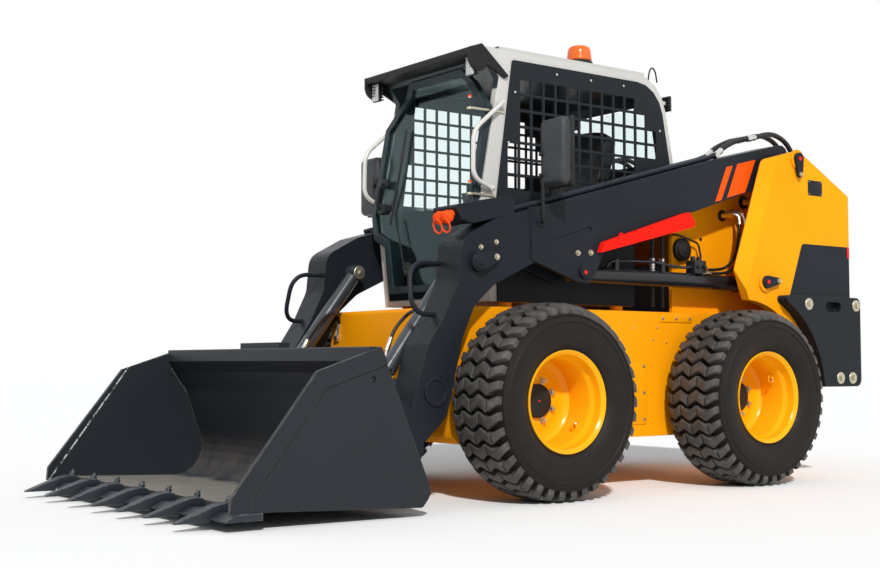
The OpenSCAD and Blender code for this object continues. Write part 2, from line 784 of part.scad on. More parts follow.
module tilt_barrel(side) {
    on_side(side) barrel(tilt_head, tilt_eye, tilt_y, tilt_bore_d, tilt_rod_d, tilt_mouth, pin_r - 4);
}
module tilt_rod(side) {
    on_side(side) rod(tilt_head, tilt_eye, tilt_y, tilt_rod_d, 190, pin_r - 6);
}

// Bucket, placed from its pin; the floor's front moves with the reach of the teeth

plate_t = 14;
edge_t = 28;
edge_low = bucket_lift + 16;
edge_top = edge_low + edge_t;
edge_x = tip_x - 296;
nose_x = tip_x - 157;
lap = 15;
back_low = bucket_pin + [58, -188];
back_high = bucket_pin + [289, 352];
tie_hole = bucket_pin + [351, 280];

module bucket_shell() {
    half = bucket_w / 2;
    heel_x = bucket_pin[0] + 128;
    heel_z = bucket_lift + 15;
    shell = rounded([[edge_x - 5, edge_top + gap], [edge_x + lap, edge_top + gap],
                     [edge_x + lap, edge_top + plate_t],
                     [heel_x + 102, heel_z + 5 + plate_t, 140], [heel_x + 32, heel_z + 161, 140],
                     back_high + [13, -49],
                     back_high + [81, 3], concat(back_high + [81, 60], [6]),
                     concat(back_high + [19, 60], [6]),
                     back_high + [-3, -7], concat(back_low + 0.1 * (back_high - back_low), [60]),
                     [heel_x, heel_z, 60]], 3);
    side = rounded([[nose_x, edge_top + gap], [nose_x - 5, bucket_lift + 106],
                    [tip_x - 532, back_high[1] - 38, 12],
                    concat(back_high + [27, 60], [12]), concat(back_high, [10]), concat(back_low, [50]),
                    [bucket_pin[0] + 106, heel_z, 20], [edge_x - 5, edge_top + gap]]);
    recess = rounded([[edge_x + 45, bucket_lift - 40], [edge_x + 45, bucket_lift + 102],
                      [tip_x - 572, back_high[1] - 102, 40],
                      concat(back_high + [-119, 27], [10]), back_low + [-98, 400], back_low + [-98, -150]]);
    color("#353a40") {
        side_plate(shell, side_t - half - 0.5, half - side_t + 0.5);
        both_sides()
            difference() {
                side_plate(side, half - side_t, half);
                side_plate(recess, half - side_t + 10, half + 10);
                cross_bar(tie_hole, tie_hole_d / 2, half - side_t - 1, half + 1);
            }
        translate([back_high[0] - 38, 225 - arm_in, back_high[1] + 54]) cube([60, arm_in - 126, 34]);
    }
}

module cutting_edge() {
    color("#2e3338")
        side_plate([[edge_x, edge_low], [edge_x, edge_top], [edge_x + 115, edge_top],
                    [edge_x + 155, edge_low + 8], [edge_x + 155, edge_low]], -bucket_w / 2, bucket_w / 2);
}

module bucket_teeth() {
    pitch = (bucket_w - 305) / (teeth - 1);
    seat_top = edge_top + gap;
    low = bucket_lift + 7;
    color("#2e3338")
        for (i = [0:teeth - 1])
            translate([0, (i - (teeth - 1) / 2) * pitch, 0])
                side_plate(rounded([[edge_x + 25, seat_top], [edge_x + 25, seat_top + 12],
                                    [edge_x + 55, seat_top + 31, 20],
                                    [edge_x + 120, seat_top + 30, 40], [tip_x, low + 6], [tip_x, low],
                                    [edge_x + 155 + gap, low], [edge_x + 155 + gap, edge_low + 9],
                                    [edge_x + 115 + gap, seat_top]]), -34, 34);
}

module coupler() {
    u = unit(back_high - back_low);
    n = [-u[1], u[0]];
    function at(a, b) = back_low + u * a + n * b;
    plate = [at(60, gap), at(520, gap), at(520, 40), at(60, 40)];
    ear = rounded([at(62, 39), at(50, 120), bucket_pin + n * 50 - u * 60, bucket_pin + n * 62,
                   tilt_eye + n * 44,
                   tilt_eye + u * 52, at(420, 39)]);
    color("#353a40")
        difference() {
            union() {
                side_plate(plate, -ear_out - 6, ear_out + 6);
                both_sides() {
                    side_plate(ear, arm_in - 24, arm_in - 8);
                    side_plate(ear, arm_out + 12, ear_out);
                    side_plate(ear, tilt_y - eye_half - 34, tilt_y - eye_half - 8);
                }
            }
            cross_bar(bucket_pin, pin_r - 4 + gap, -ear_out - 50, ear_out + 50);
        }
}

// Cab door

door_gap = 5;
door_rim = 34;
door_skin = door_gap + door_t;
door_cover = [cab_half - 106, cab_half - 7];
// The door's skin between two depths behind the cab's front line
function door_strip(a, b) = concat(
    rounded(concat(front_line(a), [[front + 65 - a, roof_z - 35]])),
    rounded([for (i = [3:-1:0]) concat(front_line(b), [[front + 65 - b, roof_z - 35]])[i]]));
function door_outline(inset) = both_halves([
    [door_cover[0] - inset, deck_z + 95 + inset], [door_cover[0] - inset, deck_z + 332 + inset],
    [door_cover[1] - inset, deck_z + 385 + inset], [door_cover[1] - inset, roof_z - 287 - inset / 2],
    [door_cover[1] - 210 - inset / 2, roof_z - 70 - inset]]);

module door_frame() {
    color("#2b3236")
        difference() {
            union() {
                intersection() {
                    side_plate(door_strip(-door_skin, -door_gap), -cab_half, cab_half);
                    difference() {
                        front_plate(door_outline(0), front - 95, front + 305);
                        front_plate(door_outline(door_rim), front - 96, front + 306);
                    }
                }
                for (h = hinge_places) {
                    translate([door_axis[0], door_axis[1], h[0] + 12]) cylinder(r = knuckle_r, h = 40);
                    translate([h[1], door_axis[1] - 26, h[0] + 12]) cube([door_axis[0] - h[1], 14, 40]);
                }
            }
            for (h = hinge_places)
                translate([door_axis[0], door_axis[1], h[0]]) cylinder(r = 8 + gap, h = 80);
        }
}
module door_glass() {
    color("#4f6b70", 0.45)
        intersection() {
            side_plate(door_strip(12 - door_skin, 20 - door_skin), -cab_half, cab_half);
            front_plate(door_outline(door_rim), front - 95, front + 305);
        }
}

// Rear door

module rear_door() {
    low = belly_z + 272;
    high = deck_z + 565;
    half = [inner_wall[0] - 32, inner_wall[0] - 12];
    slat_pitch = 50;
    slat_low = deck_z - 135;
    color("#33373c")
        difference() {
            union() {
                translate([rear_x + 12, -half[0], low]) cube([68, half[0] + half[1], high - low]);
                for (z = rear_hinges) {
                    translate([rear_axis[0], rear_axis[1], z]) cylinder(r = 11, h = 60);
                    translate([rear_axis[0], rear_axis[1], z]) cube([11, 24, 60]);
                }
            }
            for (z = [slat_low:slat_pitch:high - 110])
                translate([rear_x + 11, 90 - half[0], z]) cube([50, 2 * half[0] - 180, 26]);
            for (z = rear_hinges) translate([rear_axis[0], rear_axis[1], z - 1])
                cylinder(r = hinge_r + gap, h = 62);
        }
}
module tail_lamps() {
    color("#d8261c")
        both_sides() translate([rear_x, inner_wall[0] - 122, belly_z + 382]) cube([12, 70, 70]);
}

placed() lower_frame();
placed() towers();
placed() counterweights();
placed() hood();
placed() engine();
placed() axle_housings();
placed() cab_frame();
placed() side_screens();
placed() rear_window();
placed() visor();
placed() work_lamps();
placed() beacon();
placed() seat();
placed() controls();
placed() grab_bars();
placed() door_hinges();
placed() pivot_pins();
placed() wheel_at(front, 1) tyre();  // tyre_front_left
placed() wheel_at(front, 1) rim();  // rim_front_left
placed() wheel_at(front, -1) tyre();  // tyre_front_right
placed() wheel_at(front, -1) rim();  // rim_front_right
placed() wheel_at(back, 1) tyre();  // tyre_rear_left
placed() wheel_at(back, 1) rim();  // rim_rear_left
placed() wheel_at(back, -1) tyre();  // tyre_rear_right
placed() wheel_at(back, -1) rim();  // rim_rear_right
placed() lift_arms();
placed() arm_pins();
placed() arm_handles();
placed() hose_covers();
placed() arm_pipes();
placed() hydraulic_couplings();
placed() arm_lock();
placed() mirrors();
placed() lift_barrel(1);  // lift_barrel_left
placed() lift_rod(1);  // lift_rod_left
placed() lift_barrel(-1);  // lift_barrel_right
placed() lift_rod(-1);  // lift_rod_right
placed() tilt_barrel(1);  // tilt_barrel_left
placed() tilt_rod(1);  // tilt_rod_left
placed() tilt_barrel(-1);  // tilt_barrel_right
placed() tilt_rod(-1);  // tilt_rod_right
placed() bucket_shell();
placed() cutting_edge();
placed() bucket_teeth();
placed() coupler();
placed() door_frame();
placed() door_glass();
placed() rear_door();
placed() tail_lamps();
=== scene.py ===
import math

import bmesh
import bpy
from mathutils import Matrix, Vector


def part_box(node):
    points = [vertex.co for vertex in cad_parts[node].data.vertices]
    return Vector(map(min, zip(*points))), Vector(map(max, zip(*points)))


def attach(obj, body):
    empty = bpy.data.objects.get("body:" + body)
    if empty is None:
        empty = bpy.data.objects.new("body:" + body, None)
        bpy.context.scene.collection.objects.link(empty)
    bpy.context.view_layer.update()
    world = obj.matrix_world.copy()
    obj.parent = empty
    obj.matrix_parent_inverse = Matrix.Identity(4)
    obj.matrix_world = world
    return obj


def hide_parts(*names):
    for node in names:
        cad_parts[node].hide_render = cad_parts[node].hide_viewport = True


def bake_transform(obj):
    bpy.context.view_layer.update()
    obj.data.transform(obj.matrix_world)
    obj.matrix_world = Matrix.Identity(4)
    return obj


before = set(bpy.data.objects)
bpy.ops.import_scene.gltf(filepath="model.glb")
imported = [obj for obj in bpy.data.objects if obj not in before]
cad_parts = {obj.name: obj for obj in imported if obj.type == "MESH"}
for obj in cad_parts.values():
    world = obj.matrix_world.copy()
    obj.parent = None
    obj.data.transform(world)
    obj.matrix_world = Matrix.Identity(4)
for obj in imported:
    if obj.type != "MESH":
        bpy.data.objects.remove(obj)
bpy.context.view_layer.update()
scene = bpy.context.scene
scene.view_settings.view_transform = "Standard"

midShift = 0.5  # the frame's origin lies this far ahead of the middle of the wheelbase


def at(x, y, z):
    return Vector((x - midShift, y, z))


# camera, lamps and floor

viewSettings = {
    "position": (4.2593, 5.3551, 0.6291),
    "azimuth": 53.1877,
    "elevation": -3.4282,
    "lens": 54.24,
}
lightSettings = {
    "sunPower": 2.9,
    "sunAngle": 3.0,
    "sunFrom": (0.42, 0.72, 0.60),
    "skyPower": 0.50,
    "skyColor": (0.90, 0.95, 1.0, 1.0),
    "floorColor": (1.0, 0.985, 0.962, 1.0),
    "floorSize": 60.0,
}


def addCamera():
    data = bpy.data.cameras.new("camera")
    data.lens = viewSettings["lens"]
    data.sensor_width = 36.0
    data.clip_end = 200.0
    camera = bpy.data.objects.new("camera", data)
    az = math.radians(viewSettings["azimuth"])
    el = math.radians(viewSettings["elevation"])
    away = Vector((math.cos(az) * math.cos(el), math.sin(az) * math.cos(el), math.sin(el)))
    camera.location = viewSettings["position"]
    camera.rotation_euler = away.to_track_quat("Z", "Y").to_euler()
    scene.collection.objects.link(camera)
    scene.camera = camera


def seenDirectly(tree):
    path = tree.nodes.new("ShaderNodeLightPath")
    found = path.outputs["Is Camera Ray"]
    for label in ("Is Glossy Ray", "Is Transmission Ray"):
        either = tree.nodes.new("ShaderNodeMath")
        either.operation = "MAXIMUM"
        tree.links.new(found, either.inputs[0])
        tree.links.new(path.outputs[label], either.inputs[1])
        found = either.outputs[0]
    return found


def addSky():
    world = bpy.data.worlds.new("studio")
    world.use_nodes = True
    tree = world.node_tree
    light = tree.nodes["Background"]
    light.inputs["Color"].default_value = lightSettings["skyColor"]
    light.inputs["Strength"].default_value = lightSettings["skyPower"]
    white = tree.nodes.new("ShaderNodeBackground")  # what the camera, gloss and glass see
    white.inputs["Color"].default_value = (1, 1, 1, 1)
    white.inputs["Strength"].default_value = 1.0
    mix = tree.nodes.new("ShaderNodeMixShader")
    tree.links.new(seenDirectly(tree), mix.inputs[0])
    tree.links.new(light.outputs[0], mix.inputs[1])
    tree.links.new(white.outputs[0], mix.inputs[2])
    tree.links.new(mix.outputs[0], tree.nodes["World Output"].inputs["Surface"])
    scene.world = world


def addSun():
    data = bpy.data.lights.new("sun", "SUN")
    data.energy = lightSettings["sunPower"]
    data.angle = math.radians(lightSettings["sunAngle"])
    sun = bpy.data.objects.new("sun", data)
    sun.rotation_euler = Vector(lightSettings["sunFrom"]).to_track_quat("Z", "Y").to_euler()
    scene.collection.objects.link(sun)


def addFloor():
    bm = bmesh.new()
    bmesh.ops.create_grid(bm, x_segments=2, y_segments=2, size=lightSettings["floorSize"])
    mesh = bpy.data.meshes.new("floor")
    bm.to_mesh(mesh)
    bm.free()
    finish = bpy.data.materials.new("paleFloor")
    finish.use_nodes = True
    shader = finish.node_tree.nodes["Principled BSDF"]
    shader.inputs["Base Color"].default_value = lightSettings["floorColor"]
    shader.inputs["Roughness"].default_value = 0.9
    shader.inputs["Specular IOR Level"].default_value = 0.0
    mesh.materials.append(finish)
    floor = bpy.data.objects.new("floor", mesh)
    scene.collection.objects.link(floor)


addCamera()
addSky()
addSun()
addFloor()
print("stage set")


# shader effects shared by several finishes

def newGroup(name, inputs, outputs):
    group = bpy.data.node_groups.new(name, "ShaderNodeTree")
    for label, kind, value in inputs:
        socket = group.interface.new_socket(label, in_out="INPUT", socket_type="NodeSocket" + kind)
        socket.default_value = value
    for label, kind in outputs:
        group.interface.new_socket(label, in_out="OUTPUT", socket_type="NodeSocket" + kind)
    return group, group.nodes.new("NodeGroupInput"), group.nodes.new("NodeGroupOutput")


def noiseOf(tree, coord, scale, detail=3.0, roughness=0.55):
    noise = tree.nodes.new("ShaderNodeTexNoise")
    noise.inputs["Scale"].default_value = scale
    noise.inputs["Detail"].default_value = detail
    noise.inputs["Roughness"].default_value = roughness
    tree.links.new(coord, noise.inputs["Vector"])
    return noise.outputs["Fac"]


def spread(tree, value, low, high, toLow=0.0, toHigh=1.0):
    span = tree.nodes.new("ShaderNodeMapRange")
    tree.links.new(value, span.inputs["Value"])
    for label, number in (("From Min", low), ("From Max", high), ("To Min", toLow), ("To Max", toHigh)):
        span.inputs[label].default_value = number
    return span.outputs["Result"]


def sums(tree, operation, *values):
    found = values[0]
    for value in values[1:]:
        step = tree.nodes.new("ShaderNodeMath")
        step.operation = operation
        for socket, given in zip(step.inputs, (found, value)):
            if isinstance(given, (int, float)):
                socket.default_value = given
            else:
                tree.links.new(given, socket)
        found = step.outputs[0]
    return found


def blendColor(tree, share, first, second):
    mix = tree.nodes.new("ShaderNodeMix")
    mix.data_type = "RGBA"
    tree.links.new(share, mix.inputs["Factor"])
    for socket, given in ((mix.inputs[6], first), (mix.inputs[7], second)):
        if isinstance(given, tuple):
            socket.default_value = given
        else:
            tree.links.new(given, socket)
    return mix.outputs[2]


def shaded(tree, color, value):
    tint = tree.nodes.new("ShaderNodeHueSaturation")
    tree.links.new(color, tint.inputs["Color"])
    tree.links.new(value, tint.inputs["Value"])
    return tint.outputs["Color"]


def bumped(tree, height, distance, normal=None):
    bump = tree.nodes.new("ShaderNodeBump")
    bump.inputs["Strength"].default_value = 1.0
    bump.inputs["Distance"].default_value = distance
    tree.links.new(height, bump.inputs["Height"])
    if normal is not None:
        tree.links.new(normal, bump.inputs["Normal"])
    return bump.outputs["Normal"]


def cornerOf(tree, radius):
    corner = tree.nodes.new("ShaderNodeBevel")
    corner.samples = 4
    tree.links.new(radius, corner.inputs["Radius"])
    facing = tree.nodes.new("ShaderNodeNewGeometry")
    dot = tree.nodes.new("ShaderNodeVectorMath")
    dot.operation = "DOT_PRODUCT"
    tree.links.new(corner.outputs["Normal"], dot.inputs[0])
    tree.links.new(facing.outputs["Normal"], dot.inputs[1])
    return corner.outputs["Normal"], sums(tree, "SUBTRACT", 1.0, dot.outputs["Value"])


def upness(tree, coord):
    parts = tree.nodes.new("ShaderNodeSeparateXYZ")
    tree.links.new(coord.outputs["Normal"], parts.inputs[0])
    return spread(tree, parts.outputs["Z"], 0.1, 0.95)


def paintEffect():
    group, ins, outs = newGroup("sprayedPaint", [
        ("Paint", "Color", (0.8, 0.8, 0.8, 1)), ("Bare And Highlight", "Color", (0.4, 0.4, 0.4, 1)),
        ("Dust And Sheen", "Color", (0.42, 0.37, 0.30, 1)), ("Wear And Highlight", "Float", 0.3), ("Dust And Sheen Level", "Float", 0.1),
        ("Gloss", "Float", 0.35), ("Peel", "Float", 0.3), ("Corner", "Float", 0.003),
    ], [("Color", "Color"), ("Roughness", "Float"), ("Metallic", "Float"), ("Normal", "Vector")])
    coord = group.nodes.new("ShaderNodeTexCoord")
    place = coord.outputs["Object"]
    broad = noiseOf(group, place, 2.3)
    speck = noiseOf(group, place, 36.0, 6.0, 0.7)
    peel = noiseOf(group, place, 320.0, 2.0)
    normal, edge = cornerOf(group, ins.outputs["Corner"])
    # worn edges; where the bare tone is a lighter shade of the paint, as on yellowPaint, rimPaint,
    # lockRedPaint and stripeFilm, this is a painted edge highlight
    wornAndHighlit = sums(group, "MULTIPLY", spread(group, edge, 0.015, 0.11), spread(group, speck, 0.40, 0.62),
                ins.outputs["Wear And Highlight"])
    # dust on upward faces; where the tone is the pale blue of the dark finishes, this is a painted sky
    # reflection, not dust
    dustAndSheen = sums(group, "MULTIPLY", spread(group, broad, 0.36, 0.70), spread(group, speck, 0.30, 0.70),
                spread(group, upness(group, coord), 0.0, 1.0, 0.04, 1.0), ins.outputs["Dust And Sheen Level"])
    color = shaded(group, ins.outputs["Paint"], spread(group, broad, 0.25, 0.75, 0.93, 1.06))
    color = blendColor(group, wornAndHighlit, color, ins.outputs["Bare And Highlight"])
    color = blendColor(group, dustAndSheen, color, ins.outputs["Dust And Sheen"])
    rough = sums(group, "ADD", ins.outputs["Gloss"], spread(group, speck, 0.3, 0.7, -0.04, 0.05),
                 sums(group, "MULTIPLY", dustAndSheen, 0.4))
    height = sums(group, "MULTIPLY", peel, ins.outputs["Peel"])
    group.links.new(color, outs.inputs["Color"])
    group.links.new(rough, outs.inputs["Roughness"])
    group.links.new(sums(group, "MULTIPLY", wornAndHighlit, 0.6), outs.inputs["Metallic"])
    group.links.new(bumped(group, height, 0.0004, normal), outs.inputs["Normal"])
    return group


def mouldedEffect():
    group, ins, outs = newGroup("mouldedSkin", [
        ("Tone", "Color", (0.03, 0.03, 0.03, 1)), ("Scuff", "Color", (0.15, 0.14, 0.13, 1)),
        ("Scuffs", "Float", 0.2), ("Gloss", "Float", 0.5), ("Grain", "Float", 0.5),
        ("Corner", "Float", 0.002),
    ], [("Color", "Color"), ("Roughness", "Float"), ("Normal", "Vector")])
    coord = group.nodes.new("ShaderNodeTexCoord")
    place = coord.outputs["Object"]
    broad = noiseOf(group, place, 5.0)
    fine = noiseOf(group, place, 420.0, 2.0)
    smear = noiseOf(group, place, 17.0, 6.0, 0.68)
    normal, edge = cornerOf(group, ins.outputs["Corner"])
    rubbed = sums(group, "MULTIPLY", spread(group, smear, 0.48, 0.78), ins.outputs["Scuffs"])
    rubbed = sums(group, "MAXIMUM", rubbed, sums(
        group, "MULTIPLY", spread(group, edge, 0.02, 0.2), ins.outputs["Scuffs"], 0.8))
    color = shaded(group, ins.outputs["Tone"], spread(group, broad, 0.25, 0.75, 0.86, 1.14))
    color = blendColor(group, rubbed, color, ins.outputs["Scuff"])
    rough = sums(group, "ADD", ins.outputs["Gloss"], spread(group, smear, 0.3, 0.7, -0.06, 0.09))
    height = sums(group, "MULTIPLY", fine, ins.outputs["Grain"])
    group.links.new(color, outs.inputs["Color"])
    group.links.new(rough, outs.inputs["Roughness"])
    group.links.new(bumped(group, height, 0.0007, normal), outs.inputs["Normal"])
    return group


def metalEffect():
    group, ins, outs = newGroup("barePlating", [
        ("Metal", "Color", (0.6, 0.6, 0.6, 1)), ("Tarnish", "Color", (0.3, 0.25, 0.18, 1)),
        ("Tarnished", "Float", 0.3), ("Gloss", "Float", 0.3), ("Scratch", "Float", 0.3),
    ], [("Color", "Color"), ("Roughness", "Float"), ("Normal", "Vector")])
    coord = group.nodes.new("ShaderNodeTexCoord")
    place = coord.outputs["Object"]
    broad = noiseOf(group, place, 24.0, 5.0, 0.65)
    fine = noiseOf(group, place, 260.0, 3.0)
    stain = sums(group, "MULTIPLY", spread(group, broad, 0.42, 0.72), ins.outputs["Tarnished"])
    color = blendColor(group, stain, ins.outputs["Metal"], ins.outputs["Tarnish"])
    rough = sums(group, "ADD", ins.outputs["Gloss"], sums(group, "MULTIPLY", stain, 0.3))
    height = sums(group, "MULTIPLY", fine, ins.outputs["Scratch"])
    group.links.new(color, outs.inputs["Color"])
    group.links.new(rough, outs.inputs["Roughness"])
    group.links.new(bumped(group, height, 0.0003), outs.inputs["Normal"])
    return group


sprayedPaint = paintEffect()
mouldedSkin = mouldedEffect()
barePlating = metalEffect()


def makeFinish(name, group, values, fixed):
    finish = bpy.data.materials.new(name)
    finish.use_nodes = True
    tree = finish.node_tree
    shader = tree.nodes["Principled BSDF"]
    effect = tree.nodes.new("ShaderNodeGroup")
    effect.node_tree = group
    for label, value in values.items():
        effect.inputs[label].default_value = value
    for label, target in (("Color", "Base Color"), ("Roughness", "Roughness"), ("Metallic", "Metallic"),
                          ("Normal", "Normal")):
        if label in effect.outputs:
            tree.links.new(effect.outputs[label], shader.inputs[target])
    for label, value in fixed.items():
        shader.inputs[label].default_value = value
    return finish


brownDust = (0.42, 0.37, 0.30)
paintedSkySheen = (0.12, 0.14, 0.18)  # painted sky sheen: a pale blue tint on dark upward faces, standing in for the sky's reflection


# film is the tone laid on upward faces: brown dust by default, a painted sky sheen on the dark finishes
def painted(name, paint, bareAndHighlight, wearAndHighlight=0.3, dustAndSheen=0.05, gloss=0.4, peel=0.3, corner=0.004, film=brownDust,
            shine=0.2):
    return makeFinish(name, sprayedPaint, {
        "Paint": (*paint, 1), "Bare And Highlight": (*bareAndHighlight, 1), "Dust And Sheen": (*film, 1), "Wear And Highlight": wearAndHighlight, "Dust And Sheen Level": dustAndSheen,
        "Gloss": gloss, "Peel": peel, "Corner": corner}, {"Specular IOR Level": shine})


def moulded(name, tone, scuff, scuffs=0.2, gloss=0.5, grain=0.5, corner=0.002, shine=0.2):
    return makeFinish(name, mouldedSkin, {
        "Tone": (*tone, 1), "Scuff": (*scuff, 1), "Scuffs": scuffs, "Gloss": gloss, "Grain": grain,
        "Corner": corner}, {"Specular IOR Level": shine})


def plated(name, metal, tarnish, tarnished=0.3, gloss=0.3, scratch=0.3):
    return makeFinish(name, barePlating, {
        "Metal": (*metal, 1), "Tarnish": (*tarnish, 1), "Tarnished": tarnished, "Gloss": gloss,
        "Scratch": scratch}, {"Metallic": 1.0})


# the bare tones of yellowPaint, rimPaint, lockRedPaint and stripeFilm are lighter shades of their paint:
# painted highlight along the edges
yellowPaint = painted("yellowPaint", (0.95, 0.345, 0.003), (0.97, 0.50, 0.05), wearAndHighlight=0.35, dustAndSheen=0.04,
                      gloss=0.34, peel=0.25, corner=0.006, shine=0.07)
rimPaint = painted("rimPaint", (0.93, 0.405, 0.004), (0.97, 0.52, 0.05), wearAndHighlight=0.2, dustAndSheen=0.03,
                   gloss=0.22, peel=0.2, corner=0.003, shine=0.16)
charcoalPaint = painted("charcoalPaint", (0.0125, 0.0155, 0.0205), (0.09, 0.10, 0.12), wearAndHighlight=0.5, dustAndSheen=0.45,
                        gloss=0.34, peel=0.5, corner=0.004, film=paintedSkySheen, shine=0.11)
castPaint = painted("castPaint", (0.012, 0.0145, 0.018), (0.10, 0.11, 0.125), wearAndHighlight=0.5, dustAndSheen=0.5,
                    gloss=0.44, peel=2.2, corner=0.006, film=paintedSkySheen, shine=0.12)
screenPaint = painted("screenPaint", (0.016, 0.019, 0.023), (0.06, 0.07, 0.08), wearAndHighlight=0.3, dustAndSheen=0.1,
                      gloss=0.5, peel=0.5, corner=0.003, film=paintedSkySheen, shine=0.1)
redPaint = painted("lockRedPaint", (0.97, 0.010, 0.003), (0.98, 0.06, 0.02), wearAndHighlight=0.3, dustAndSheen=0.03,
                   gloss=0.4, peel=0.3, corner=0.003, shine=0.1)
stripeFilm = painted("stripeFilm", (0.98, 0.088, 0.003), (0.9, 0.2, 0.05), wearAndHighlight=0.1, dustAndSheen=0.03,
                     gloss=0.4, peel=0.2, corner=0.0008, shine=0.1)
engineGrey = painted("engineGrey", (0.05, 0.05, 0.052), (0.14, 0.14, 0.14), wearAndHighlight=0.4, dustAndSheen=0.3,
                     gloss=0.55, peel=1.0, corner=0.004)
barGrey = painted("grabBarGrey", (0.62, 0.60, 0.55), (0.78, 0.77, 0.74), wearAndHighlight=0.5, dustAndSheen=0.05,
                  gloss=0.25, peel=0.2, corner=0.002, shine=0.5)
cylinderPaint = painted("cylinderPaint", (0.010, 0.011, 0.013), (0.06, 0.065, 0.07), wearAndHighlight=0.4, dustAndSheen=0.3,
                        gloss=0.26, peel=0.3, corner=0.003, film=paintedSkySheen, shine=0.4)
barrelPaint = painted("barrelPaint", (0.030, 0.035, 0.042), (0.09, 0.10, 0.11), wearAndHighlight=0.4, dustAndSheen=0.4,
                      gloss=0.20, peel=0.2, corner=0.003, film=paintedSkySheen, shine=0.6)
toothSteel = painted("toothSteel", (0.022, 0.027, 0.034), (0.30, 0.31, 0.33), wearAndHighlight=0.9, dustAndSheen=0.4,
                     gloss=0.36, peel=0.8, corner=0.006, film=paintedSkySheen, shine=0.3)
mirrorShell = moulded("mirrorShell", (0.030, 0.033, 0.036), (0.08, 0.08, 0.08), scuffs=0.25,
                      gloss=0.42, grain=0.8, corner=0.004, shine=0.3)
visorPlastic = moulded("visorPlastic", (0.013, 0.012, 0.012), (0.05, 0.045, 0.04), scuffs=0.22,
                       gloss=0.42, grain=0.6, corner=0.004)
blackPlastic = moulded("blackPlastic", (0.013, 0.014, 0.015), (0.05, 0.05, 0.05), scuffs=0.25,
                       gloss=0.45, grain=0.6, corner=0.004)
doorBlack = moulded("doorBlack", (0.020, 0.033, 0.038), (0.06, 0.08, 0.09), scuffs=0.25,
                    gloss=0.35, grain=0.4, corner=0.003)
wallRubber = moulded("sidewallRubber", (0.0120, 0.0095, 0.0080), (0.034, 0.028, 0.023), scuffs=0.30,
                     gloss=0.55, grain=0.7, corner=0.003, shine=0.17)
treadRubber = moulded("treadRubber", (0.052, 0.048, 0.044), (0.165, 0.152, 0.136), scuffs=0.60,
                      gloss=0.52, grain=1.0, corner=0.004, shine=0.40)
hoseRubber = moulded("hoseRubber", (0.012, 0.012, 0.012), (0.05, 0.05, 0.048), scuffs=0.3,
                     gloss=0.42, grain=0.9, corner=0.001, shine=0.3)
seatVinyl = moulded("seatVinyl", (0.020, 0.020, 0.021), (0.05, 0.05, 0.05), scuffs=0.2,
                    gloss=0.48, grain=1.4, corner=0.004)
capRubber = moulded("couplerCap", (0.90, 0.075, 0.004), (0.95, 0.20, 0.06), scuffs=0.3,
                    gloss=0.45, grain=0.6, corner=0.002, shine=0.15)
redDot = moulded("redPlug", (0.80, 0.012, 0.006), (0.8, 0.1, 0.06), scuffs=0.2,
                 gloss=0.4, grain=0.3, corner=0.001)
tailLens = moulded("tailLens", (0.70, 0.010, 0.006), (0.8, 0.1, 0.08), scuffs=0.15,
                   gloss=0.18, grain=0.2, corner=0.002)
amberLens = moulded("amberLens", (0.76, 0.125, 0.008), (0.95, 0.35, 0.08), scuffs=0.15,
                    gloss=0.14, grain=0.1, corner=0.002, shine=0.4)
zincPlate = plated("zincPlate", (0.62, 0.57, 0.44), (0.30, 0.22, 0.10), tarnished=0.35, gloss=0.34,
                   scratch=0.5)
chromeRod = plated("chromeRod", (0.62, 0.63, 0.64), (0.40, 0.40, 0.40), tarnished=0.2, gloss=0.10,
                   scratch=0.1)
crimpSteel = plated("crimpSteel", (0.72, 0.71, 0.68), (0.35, 0.30, 0.2), tarnished=0.25, gloss=0.28,
                    scratch=0.4)
mirrorFace = plated("mirrorFace", (0.85, 0.86, 0.87), (0.6, 0.6, 0.6), tarnished=0.1, gloss=0.03,
                    scratch=0.0)
lampSilver = plated("lampSilver", (0.60, 0.61, 0.62), (0.25, 0.25, 0.25), tarnished=0.4, gloss=0.25,
                    scratch=0.3)


def masked(finish, share, tone):
    tree = finish.node_tree
    color = tree.nodes["Principled BSDF"].inputs["Base Color"]
    tree.links.new(blendColor(tree, share, color.links[0].from_socket, tone), color)


def objectParts(tree):
    coord = tree.nodes.new("ShaderNodeTexCoord")
    place, facing = tree.nodes.new("ShaderNodeSeparateXYZ"), tree.nodes.new("ShaderNodeSeparateXYZ")
    tree.links.new(coord.outputs["Object"], place.inputs[0])
    tree.links.new(coord.outputs["Normal"], facing.inputs[0])
    return coord, place.outputs, facing.outputs


# painted shade inside the cab: the middle it is measured from, the heights where front faces at the top (the
# brow) take the same tone, and the dark teal tone
cabInnerShade = {"middle": (0.15, 0.0, 1.5), "browZ": (1.955, 1.965), "tone": (0.018, 0.031, 0.036, 1)}


